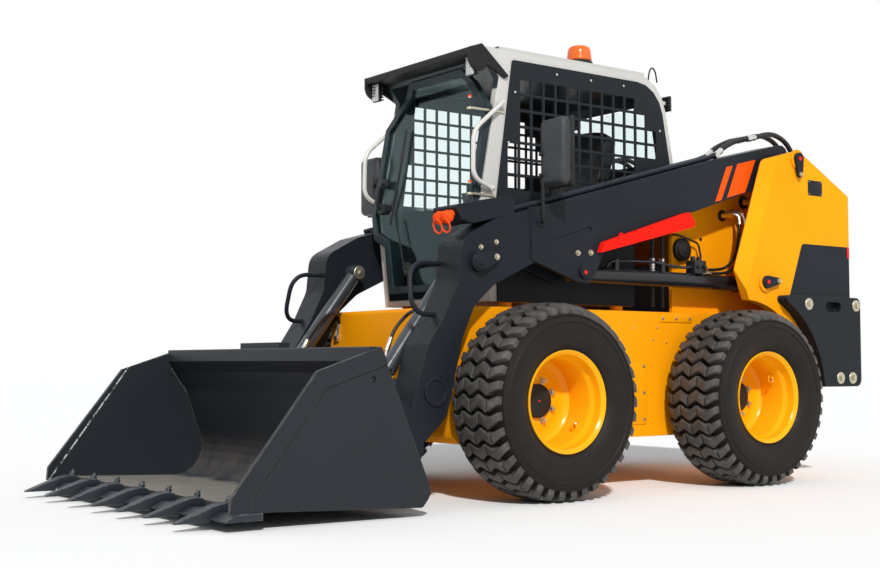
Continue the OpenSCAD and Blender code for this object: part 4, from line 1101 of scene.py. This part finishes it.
def makeLiftHoses():
    form = liftHoseForm
    radius = form["radius"]
    for side, label in sideLabels:
        barrel = "lift_barrel_" + label.lower()
        stubs, valve, ends = bmesh.new(), bmesh.new(), bmesh.new()
        for stub, size in zip(form["stubs"], form["stubSizes"]):
            neck = mirrored(stub, side)
            addDisc(stubs, neck[0], (0, side, 0), size * form["flange"], *form["flangeSize"], finish=1)
            addTube(stubs, neck, size * form["neck"], 16)
            addDisc(stubs, neck[1], towards(neck, 0, 1), size * form["nut"], *form["nutSize"])
        for number, run in enumerate(form["runs"]):
            route = smoothPath(mirrored(run, side), 4)
            makeCord(f"liftHose{label}{number + 1}", route, radius)
            for first, last, over in (form["elbow"], form["sleeve"]):
                addTube(stubs, route[first:last], radius * over, 14, finish=2)
            back = towards(route, -1, -2)
            addCrimp(ends, route[-1] + back * form["endShift"], back, radius)
        addLiftValve(valve, side)
        finishPiece("hoseStubs" + label, stubs, [yellowPaint, blackPlastic, crimpSteel], "chassis")
        finishPiece("liftValve" + label, valve, cylinderPaint, barrel)
        finishPiece("liftHoseEnds" + label, ends, zincPlate, barrel)


tiltHoseForm = {
    "radius": 0.0085,
    "run": ((1.322, 0.372, 0.712), (1.290, 0.366, 0.775), (1.245, 0.366, 0.828), (1.195, 0.374, 0.868),
            (1.140, 0.394, 0.886), (1.092, 0.424, 0.876), (1.066, 0.452, 0.842), (1.060, 0.468, 0.795)),
    "bend": ((1.26, 0, 0.80), (1.09, 0, 0.80)),
    "port": ((1.335, 0.376, 0.684), (1.352, 0.390, 0.652)), "portOver": 0.9,
    "seatY": 0.017, "seatDrop": 0.035, "seat": (0.020, 0.030, 6, 0.15),
}


def makeTiltHoses():
    form = tiltHoseForm
    radius = form["radius"]
    for side, label in sideLabels:
        barrel = "tilt_barrel_" + label.lower()
        ends, clamp = bmesh.new(), bmesh.new()
        route = smoothPath(mirrored(form["run"], side), 4)
        makeCord("tiltHose" + label, route, radius)
        addCrimp(ends, route[0], towards(route, 0, 1), radius)
        addTube(ends, smoothPath([route[0]] + mirrored(form["port"], side), 5), radius * form["portOver"], 12)
        addCrimp(clamp, route[-1], towards(route, -1, -2), radius)
        seat = route[-1] + Vector((0, side * form["seatY"], -form["seatDrop"]))
        addDisc(clamp, seat, (0, -side, 0), *form["seat"])
        finishPiece("tiltHoseEnds" + label, ends, crimpSteel, barrel)
        finishPiece("tiltHoseSeats" + label, clamp, crimpSteel, "lift_arms")


makeArmHoses()
makeLiftHoses()
makeTiltHoses()
print("hoses made")


# rails, mirrors and fittings on the cab, the arms and the bucket

weldForm = {
    "y": 0.9215, "radius": 0.0036,
    "line": ((1.782, 0.603), (1.678, 0.458), (1.621, 0.356), (1.580, 0.224), (1.594, 0.124), (1.618, 0.081),
             (1.665, 0.059)),
}
bossForm = {"place": (1.270, 0.505), "radius": 0.054, "y": 0.6604, "thick": 0.0050}


def makeWelds():
    welds, rings = bmesh.new(), bmesh.new()
    circle = arcPoints(bossForm["place"], bossForm["radius"], turnsOf(48))
    for side in (1, -1):
        line = [at(x, side * weldForm["y"], z) for x, z in weldForm["line"]]
        addTube(welds, smoothPath(line, 8), weldForm["radius"], 8)
        addTube(rings, [at(x, side * bossForm["y"], z) for x, z in circle], bossForm["thick"], 10)
    finishPiece("bucketWelds", welds, toothSteel, "bucket")
    finishPiece("armBossRings", rings, charcoalPaint, "lift_arms")


visorEarForm = {
    "y": (0.4366, 0.4502),
    "top": ((0.797, 2.120), (0.914, 2.128)), "middle": (0.857, 2.090), "reach": (0.058, 0.064),
}
lineForm = {
    "x": (-0.300, -0.373), "y": 0.4585, "z": (0.925, 1.325), "radius": 0.0105,
    "sleeves": ((1.122, 1.3, 0.060, 20, 0.1), (1.092, 1.45, 0.028, 6, 0.1)),
}
aerialForm = {
    "y": 0.400, "radius": 0.0042,
    "loop": ((-0.341, 2.140), (-0.352, 2.190), (-0.372, 2.213), (-0.395, 2.195), (-0.409, 2.138)),
}


def makeCabTrim():
    ears, lines, aerial = bmesh.new(), bmesh.new(), bmesh.new()
    (mx, mz), (rx, rz) = visorEarForm["middle"], visorEarForm["reach"]
    lobe = [(mx + rx * math.cos(t), mz - rz * math.sin(t)) for t in turnsOf(18, 0.0, math.pi)]
    for side in (1, -1):
        addPlate(ears, [*visorEarForm["top"], *lobe], *(side * y for y in visorEarForm["y"]))
        y = side * lineForm["y"]
        for x in lineForm["x"]:
            addTube(lines, [at(x, y, z) for z in lineForm["z"]], lineForm["radius"], 14)
            for z, over, *size in lineForm["sleeves"]:
                addDisc(lines, at(x, y, z), upward, lineForm["radius"] * over, *size, finish=1)
    loop = [at(x, aerialForm["y"], z) for x, z in aerialForm["loop"]]
    addTube(aerial, smoothPath(loop, 6), aerialForm["radius"], 10)
    finishPiece("visorEars", ears, visorPlastic, "chassis")
    finishPiece("cabLines", lines, [hoseRubber, crimpSteel], "chassis")
    finishPiece("aerialLoop", aerial, blackPlastic, "chassis")


railForm = {
    "radius": 0.0112, "handleBend": 0.045, "grabBend": 0.055,
    "handleTop": ((1.120, 0.505, 1.085), (1.262, 0.510, 1.085), (1.312, 0.522, 1.035)),
    "handleFoot": ((1.326, 0.552, 0.049), (1.290, 0.572, 0.0), (1.208, 0.575, 0.0)), "footRise": 0.011,
    "grab": ((0.722, 0.464, 1.885), (0.900, 0.464, 1.734), (0.904, 0.464, 1.508), (0.790, 0.464, 1.464)),
    "footY": 0.4362, "foot": (0.0142, 0.040, 24, 0.25), "boltY": 0.4762, "bolt": (0.0065, 0.005),
}


def makeRails():
    form = railForm
    handles, bars = bmesh.new(), bmesh.new()
    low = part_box("arm_handles")[0][2] + form["footRise"]
    handle = [*form["handleTop"], *((x, y, low + z) for x, y, z in form["handleFoot"])]
    for side in (1, -1):
        out = (0, side, 0)
        addTube(handles, bentPath(mirrored(handle, side), form["handleBend"]), form["radius"], 16)
        addTube(bars, bentPath(mirrored(form["grab"], side), form["grabBend"]), form["radius"], 16)
        for x, _, z in (form["grab"][0], form["grab"][-1]):
            addDisc(bars, at(x, side * form["footY"], z), out, *form["foot"])
            addBolt(bars, at(x, side * form["boltY"], z), out, *form["bolt"])
    finishPiece("armHandles", handles, charcoalPaint, "lift_arms", ["arm_handles"])
    finishPiece("grabBars", bars, barGrey, "chassis", ["grab_bars"])


mirrorForm = {
    "x": (0.607, 0.683), "y": (0.675, 0.855), "z": (1.449, 1.778), "rim": 0.022, "rimRound": 0.0105,
    "backX": 0.006, "backInset": 0.005, "backRound": 0.030,
    "faceX": (-0.0012, 0.004), "faceInset": 0.014, "faceRound": 0.001,
    "pole": ((0.676, 0.705, 1.660), (0.678, 0.705, 1.330), (0.670, 0.698, 1.292), (0.655, 0.668, 1.290)),
    "poleBend": 0.03, "poleRadius": 0.0088,
    "clampX": (0.664, 0.690), "clampY": 0.705, "clampHalf": 0.016, "clampZ": (1.500, 1.600),
    "clampHeight": 0.018, "clampRound": 0.003,
    "footX": (0.636, 0.674), "footY": 0.664, "footReach": (-0.006, 0.010), "footZ": (1.270, 1.310),
    "footRound": 0.004,
}


def makeMirrors():
    form = mirrorForm
    shell, face = bmesh.new(), bmesh.new()
    (x0, x1), (z0, z1) = form["x"], form["z"]
    for side in (1, -1):
        y0, y1 = spanOf(side, *form["y"])
        addBox(shell, (x0, y0, z0), (x0 + form["rim"], y1, z1), form["rimRound"], 0, 4)
        inset = form["backInset"]
        addBox(shell, (x0 + form["backX"], y0 + inset, z0 + inset), (x1, y1 - inset, z1 - inset),
               form["backRound"], 1, 5)
        inset = form["faceInset"]
        front, back = (x0 + x for x in form["faceX"])
        addBox(face, (front, y0 + inset, z0 + inset), (back, y1 - inset, z1 - inset), form["faceRound"])
        addTube(shell, bentPath(mirrored(form["pole"], side), form["poleBend"]), form["poleRadius"], 14)
        (near, far), y, half = form["clampX"], side * form["clampY"], form["clampHalf"]
        for z in form["clampZ"]:
            addBox(shell, (near, y - half, z), (far, y + half, z + form["clampHeight"]), form["clampRound"])
        footY = [side * form["footY"] + reach for reach in form["footReach"]]
        addBox(shell, *zip(form["footX"], footY, form["footZ"]), form["footRound"])
    finishPiece("mirrorShells", shell, [blackPlastic, mirrorShell], "lift_arms", ["mirrors"], 40)
    finishPiece("mirrorFaces", face, mirrorFace, "lift_arms")


doorForm = {
    "wiper": ((0.803, -0.222, 1.841), (0.850, -0.223, 1.591), (0.882, -0.254, 1.343)), "wiperRadius": 0.0065,
    "link": ((0.890, -0.193, 1.363), (0.862, -0.147, 1.089)), "linkRadius": 0.0045,
    "motor": (0.842, -0.147, 1.089), "motorSize": (0.016, 0.022, 20, 0.3),
    "lever": ((0.862, -0.345, 1.432), (0.905, -0.345, 1.440), (0.893, -0.335, 1.560), (0.846, -0.335, 1.566)),
    "leverBend": 0.03, "leverRadius": 0.009,
    "latches": (((0.846, -0.368, 1.405), (0.886, -0.312, 1.460)),
                ((0.840, -0.360, 1.545), (0.870, -0.310, 1.590))),
    "latchRound": 0.008,
}


def makeDoorFittings():
    form = doorForm
    bm = bmesh.new()
    addTube(bm, smoothPath([at(*p) for p in form["wiper"]], 6), form["wiperRadius"], 10)
    addTube(bm, smoothPath([at(*p) for p in form["link"]], 4), form["linkRadius"], 10)
    addDisc(bm, at(*form["motor"]), (1, 0, 0), *form["motorSize"])
    addTube(bm, bentPath([at(*p) for p in form["lever"]], form["leverBend"]), form["leverRadius"], 14)
    for low, high in form["latches"]:
        addBox(bm, low, high, form["latchRound"], 0, 3)
    finishPiece("doorFittings", bm, blackPlastic, "cab_door")


hornForm = {
    "place": (-0.498, 1.233), "radius": 0.062,
    "steps": ((0.4735, 1.0, 0.024, 40, 0.25), (0.4973, 0.72, 0.009, 36, 0.3), (0.5062, 0.30, 0.005, 24, 0.3)),
    "guard": ((-0.446, 0.474, 1.312), (-0.446, 0.506, 1.310), (-0.600, 0.508, 1.272), (-0.622, 0.508, 1.190),
              (-0.622, 0.474, 1.188)),
    "guardBend": 0.022, "guardRadius": 0.0055,
    "screws": ((-0.655, 1.300), (-0.700, 1.120), (-0.560, 1.062)), "screwY": 0.4738,
    "screw": (0.007, 0.006, 0.010),
}


def makeHorn():
    form = hornForm
    horns, guards = bmesh.new(), bmesh.new()
    x, z = form["place"]
    for side in (1, -1):
        out = (0, side, 0)
        for y, share, *size in form["steps"]:
            addDisc(horns, at(x, side * y, z), out, form["radius"] * share, *size)
        addTube(guards, bentPath(mirrored(form["guard"], side), form["guardBend"]), form["guardRadius"], 12)
        for sx, sz in form["screws"]:
            addBolt(guards, at(sx, side * form["screwY"], sz), out, *form["screw"])
    finishPiece("horns", horns, visorPlastic, "chassis")
    finishPiece("hornGuards", guards, cylinderPaint, "chassis")


keeperForm = {
    "boss": (1.033, 1.089), "radius": 0.046, "bolt": (0.941, 1.114), "tip": 0.022, "y": (0.6598, 0.6880),
    "soften": 0.0015, "discs": ((0.6875, 0.037, 0.010, 40, 0.3), (0.6970, 0.020, 0.005, 32, 0.3)),
    "boltY": 0.6878, "boltSize": (0.0105, 0.008, 0.0150),
    "tiltPin": (0.985, 0.3832, 1.099), "pinBolt": (0.011, 0.008, 0.034),
}


def makeKeepers():
    form = keeperForm
    plates, bolts = bmesh.new(), bmesh.new()
    (bx, bz), (tx, tz) = form["boss"], form["bolt"]
    turn = math.atan2(tz - bz, tx - bx)
    tangent = math.acos((form["radius"] - form["tip"]) / math.hypot(tx - bx, tz - bz))
    outline = arcPoints(form["boss"], form["radius"],
                        turnsOf(20, turn + tangent, turn + 2 * math.pi - tangent))
    outline += arcPoints(form["bolt"], form["tip"], turnsOf(8, turn - tangent, turn + tangent))
    for side in (1, -1):
        out = (0, side, 0)
        addPlate(plates, outline, *(side * y for y in form["y"]), 0.0, form["soften"])
        for y, *size in form["discs"]:
            addDisc(plates, at(bx, side * y, bz), out, *size)
        addBolt(bolts, at(tx, side * form["boltY"], tz), out, *form["boltSize"])
        pinEnd = mirrored([form["tiltPin"]], side)[0]  # the inner end of the tilt cylinder's head pin
        addBolt(bolts, pinEnd, (0, -side, 0), *form["pinBolt"])
    finishPiece("knucklePlates", plates, charcoalPaint, "lift_arms")
    finishPiece("knuckleBolts", bolts, zincPlate, "lift_arms")


fillerForm = {
    "place": (-0.610, 0.372), "z": 1.650, "size": (0.0476, 0.0392, 44, 0.18),
    "ribs": 22, "ribCircle": 0.0470, "ribZ": 1.652, "rib": (0.0042, 0.030, 10, 0.3),
}
hingeCapForm = {"place": (0.893, 0.425), "z": (1.489, 1.899), "size": (0.0095, 0.010, 20, 0.4)}
tieHoleForm = {"place": (1.781, 0.9225, 0.565), "size": (0.0129, 0.004, 24, 0.3)}


def makeCaps():
    cap, tips, backs = bmesh.new(), bmesh.new(), bmesh.new()
    addDisc(cap, at(*fillerForm["place"], fillerForm["z"]), upward, *fillerForm["size"])
    for x, y in arcPoints(fillerForm["place"], fillerForm["ribCircle"], turnsOf(fillerForm["ribs"])[:-1]):
        addDisc(cap, at(x, y, fillerForm["ribZ"]), upward, *fillerForm["rib"])
    for z in hingeCapForm["z"]:
        addDisc(tips, at(*hingeCapForm["place"], z), upward, *hingeCapForm["size"])
    for side in (1, -1):
        addDisc(backs, *mirrored([tieHoleForm["place"]], side), (0, side, 0), *tieHoleForm["size"])
    finishPiece("fillerCap", cap, blackPlastic, "chassis")
    finishPiece("hingeCaps", tips, capRubber, "chassis")
    finishPiece("tieHoleBacks", backs, hoseRubber, "bucket")


capForm = {
    "middle": (1.1425, 1.3085), "out": (0.826, -0.564), "y": (0.555, 0.615),
    "faceOut": 0.0528, "face": (0.020, 0.006, 28, 0.4),
    "ribs": 14, "ribOut": 0.022, "ribCircle": 0.0255, "rib": (0.0032, 0.027, 8, 0.3),
    "ringOut": 0.056, "ringShift": (0, 0.012, -0.030), "ring": (0.010, 0.030, 0.030), "ringRadius": 0.0042,
}


def makeCouplerCaps():
    form = capForm
    bm = bmesh.new()
    (mx, mz), (ox, oz), (rx, ry, rz) = form["middle"], form["out"], form["ring"]
    out, above, aside = Vector((ox, 0, oz)), Vector((-oz, 0, ox)), Vector((0, 1, 0))
    for y in form["y"]:
        middle = at(mx, y, mz)
        addDisc(bm, middle + out * form["faceOut"], out, *form["face"])
        for t in turnsOf(form["ribs"])[:-1]:  # ribs for the fingers
            rim = (above * math.cos(t) + aside * math.sin(t)) * form["ribCircle"]
            addDisc(bm, middle + out * form["ribOut"] + rim, out, *form["rib"])
        hang = middle + out * form["ringOut"] + Vector(form["ringShift"])
        ring = [hang + Vector((rx * math.sin(t), ry * math.cos(t), rz * math.sin(t))) for t in turnsOf(28)]
        addTube(bm, ring, form["ringRadius"], 10)
    finishPiece("couplerStraps", bm, capRubber, "lift_arms")


lipForm = {
    "y": (0.5398, 0.5440), "outline": ((-0.265, 0.842), (-0.505, 0.842), (-0.505, 0.884), (-0.265, 0.884)),
    "corner": 0.006, "soften": 0.0012,
    "boltX": (-0.285, -0.385, -0.485), "boltY": 0.5438, "boltZ": 0.863, "bolt": (0.0062, 0.005, 0.009),
}


def makeFrameLip():
    form = lipForm
    bm = bmesh.new()
    for side in (1, -1):
        addPlate(bm, form["outline"], *spanOf(side, *form["y"]), form["corner"], form["soften"])
        for x in form["boltX"]:
            addBolt(bm, at(x, side * form["boltY"], form["boltZ"]), (0, side, 0), *form["bolt"], finish=1)
    finishPiece("frameLips", bm, [yellowPaint, zincPlate], "chassis")


makeWelds()
makeCabTrim()
makeRails()
makeMirrors()
makeDoorFittings()
makeHorn()
makeKeepers()
makeCaps()
makeCouplerCaps()
makeFrameLip()
print("rails, mirrors and fittings made")


# markings, plates and fasteners

stripeForm = {
    "y": (0.6598, 0.6608),
    "outlines": (((-0.659, 1.672), (-0.707, 1.683), (-0.615, 1.492), (-0.567, 1.480)),
                 ((-0.746, 1.696), (-0.894, 1.733), (-0.806, 1.549), (-0.660, 1.508))),
}


def makeStripes():
    bm = bmesh.new()
    for side in (1, -1):
        for outline in stripeForm["outlines"]:
            addPlate(bm, outline, *spanOf(side, *stripeForm["y"]))
    finishPiece("armStripes", bm, stripeFilm, "lift_arms")


panelForm = {
    "y": (0.7498, 0.7510), "corner": 0.018,
    "outline": ((-1.163, 1.284), (-1.5785, 1.284), (-1.5785, 0.985), (-1.048, 0.985)),
}
plateForm = {
    "y": (0.7498, 0.7522), "corner": 0.006, "soften": 0.0006,
    "outline": ((-1.222, 1.640), (-1.345, 1.640), (-1.345, 1.556), (-1.222, 1.556)),
    "rivetX": (-1.230, -1.337), "rivetY": 0.7520, "rivetZ": (1.564, 1.632), "rivet": (0.0032, 0.002, 12),
}
reflectorForm = {"x": (-1.5785, -1.558), "y": (0.7505, 0.7535), "z": (1.222, 1.284), "soften": 0.0008}


def makeTowerPanels():
    panel, plate, rivets = bmesh.new(), bmesh.new(), bmesh.new()
    for side in (1, -1):
        addPlate(panel, panelForm["outline"], *spanOf(side, *panelForm["y"]), panelForm["corner"])
        addPlate(plate, plateForm["outline"], *spanOf(side, *plateForm["y"]), plateForm["corner"],
                 plateForm["soften"])
        for x in plateForm["rivetX"]:
            for z in plateForm["rivetZ"]:
                addDisc(rivets, at(x, side * plateForm["rivetY"], z), (0, side, 0), *plateForm["rivet"])
        low, high = zip(reflectorForm["x"], spanOf(side, *reflectorForm["y"]), reflectorForm["z"])
        addBox(plate, low, high, reflectorForm["soften"], 1)
    finishPiece("towerPanels", panel, charcoalPaint, "chassis")
    finishPiece("towerPlates", plate, [blackPlastic, tailLens], "chassis")
    finishPiece("plateRivets", rivets, crimpSteel, "chassis")


fastenerForm = {
    "frameBolts": {"finish": zincPlate, "body": "chassis", "slot": "steel", "add": addBolt, "rows": (
        (0.8178, (0.0150, 0.012, 0.0330), ((-1.129, 0.950), (-1.543, 0.950), (-1.395, 0.549),
                                           (-1.503, 0.549))),
        (0.7772, (0.0095, 0.008, 0.0135), ((-1.131, 1.660), (-0.932, 1.069))),
        (0.5445, (0.0065, 0.005, 0.0095), [(x, z) for x in (0.02, -0.14) for z in (0.345, 0.480, 0.615)]))},
    "pinPlugs": {"finish": redDot, "body": "chassis", "slot": "red", "add": addDisc, "rows": (
        (0.7772, (0.011, 0.004, 20), ((-1.124, 1.746), (-0.846, 1.061))),)},
    "screenScrews": {"finish": crimpSteel, "body": "chassis", "slot": "steel", "add": addDisc, "rows": (
        (0.4452, (0.0062, 0.003, 14, 0.4), ((0.354, 2.074), (0.121, 2.074), (-0.112, 2.076), (-0.378, 1.866),
                                            (-0.345, 1.650), (0.627, 1.952), (0.670, 1.700))),
        (0.5400, (0.0052, 0.003, 12, 0.4), ((-0.079, 0.809), (-0.245, 0.812), (-0.215, 0.750),
                                            (-0.311, 0.735))))},
    "armBolts": {"finish": zincPlate, "body": "lift_arms", "slot": "steel", "add": addBolt, "rows": (
        (0.6682, (0.0105, 0.009, 0.0150), ((0.424, 1.158), (0.340, 1.164))),
        (0.6602, (0.0085, 0.008, 0.0125), ((1.013, 1.157), (0.923, 1.185))))},
    "armPinPlugs": {"finish": redDot, "body": "lift_arms", "slot": "red", "add": addDisc, "rows": (
        (0.6822, (0.010, 0.004, 20), ((0.387, 1.066),)),)},
}


def makeFasteners():
    for name, form in fastenerForm.items():
        bm = bmesh.new()
        for side in (1, -1):
            for y, size, places in form["rows"]:
                for x, z in places:
                    form["add"](bm, at(x, side * y, z), (0, side, 0), *size)
        finishPiece(name, bm, form["finish"], form["body"])


accessForm = {
    "y": (0.5398, 0.5450), "corner": 0.018, "soften": 0.0018,
    "outline": ((0.045, 0.320), (-0.165, 0.320), (-0.165, 0.640), (0.045, 0.640)),
}


def makeAccessPanels():
    form = accessForm
    bm = bmesh.new()
    for side in (1, -1):
        addPlate(bm, form["outline"], *spanOf(side, *form["y"]), form["corner"], form["soften"])
    finishPiece("accessPanels", bm, yellowPaint, "chassis")


makeStripes()
makeTowerPanels()
makeFasteners()
makeAccessPanels()
print("markings and fasteners made")


# seat

seatForm = {
    "seatCushion": {"low": (-0.110, -0.240, 1.190), "high": (0.285, 0.240, 1.306), "lean": 0.0,
                    "hides": ["seat"]},
    "seatBackrest": {"low": (-0.490, -0.225, 1.540), "high": (0.130, 0.225, 1.640), "lean": -108.0,
                     "hides": ()},
    "post": ((-0.095, -0.145, 0.958), (0.205, 0.145, 1.185)), "postRound": 0.012,
    "crown": 0.022, "cuts": 9, "pull": (0.10, 0.08), "fill": 0.9,
    "channelDepth": 0.010, "channelAt": 0.55, "channelWidth": 0.05,
}


def channelDepth(across):
    return seatForm["channelDepth"] * math.exp(
        -((abs(across) - seatForm["channelAt"]) / seatForm["channelWidth"]) ** 2)


def softBlock(bm, low, high, lean):
    low, high = Vector(low), Vector(high)
    size, crown = high - low, seatForm["crown"]
    pullX, pullY = seatForm["pull"]
    bmesh.ops.create_cube(bm, size=1.0)
    bmesh.ops.subdivide_edges(bm, edges=bm.edges[:], cuts=seatForm["cuts"], use_grid_fill=True)
    for v in bm.verts:
        p = v.co * 2
        x = p.x * (1 - pullX * p.y * p.y * abs(p.x)) / 2
        y = p.y * (1 - pullY * p.x * p.x * abs(p.y)) / 2
        z = p.z / 2 * (size.z - crown) - crown / 2
        if p.z > 0.9:  # the top is crowned, with two sewn channels
            z += crown * (1 - p.x * p.x) * (1 - p.y * p.y) - channelDepth(p.y)
        v.co = (x * size.x, y * size.y, z)
    turn = Matrix.Rotation(math.radians(lean), 4, "Y")
    bmesh.ops.transform(bm, matrix=Matrix.Translation(at(*((low + high) / 2))) @ turn, verts=bm.verts[:])


def makeSeat():
    for name in ("seatCushion", "seatBackrest"):
        form = seatForm[name]
        bm = bmesh.new()
        softBlock(bm, form["low"], form["high"], form["lean"])
        piece = finishPiece(name, bm, seatVinyl, "chassis", form["hides"], 70)
        soft = piece.modifiers.new("soften", "SUBSURF")
        soft.levels = soft.render_levels = 1
    post = bmesh.new()
    addBox(post, *seatForm["post"], seatForm["postRound"])
    finishPiece("seatPost", post, blackPlastic, "chassis")


makeSeat()
print("seat made")


# finishes of the CAD nodes that stay

nodeFinishes = {
    "lower_frame": yellowPaint, "towers": yellowPaint, "counterweights": castPaint, "hood": yellowPaint,
    "engine": engineGrey, "axle_housings": yellowPaint, "cab_frame": greyPaint, "side_screens": screenPaint,
    "rear_window": cabGlass, "visor": visorPlastic, "controls": blackPlastic, "door_hinges": zincPlate,
    "pivot_pins": charcoalPaint, "lift_arms": charcoalPaint, "arm_pins": charcoalPaint,
    "hose_covers": charcoalPaint, "hydraulic_couplings": capRubber, "arm_lock": redPaint,
    "bucket_shell": bucketPaint, "cutting_edge": toothSteel, "coupler": charcoalPaint,
    "door_frame": doorBlack, "door_glass": cabGlass, "rear_door": charcoalPaint, "tail_lamps": tailLens,
}
for side in ("left", "right"):
    for part, finish in (("lift_barrel", cylinderPaint), ("lift_rod", chromeRod),
                         ("tilt_barrel", barrelPaint), ("tilt_rod", chromeRod)):
        nodeFinishes[f"{part}_{side}"] = finish
for name, finish in nodeFinishes.items():
    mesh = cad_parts[name].data
    mesh.materials.clear()
    mesh.materials.append(finish)
print("finishes on the solids")
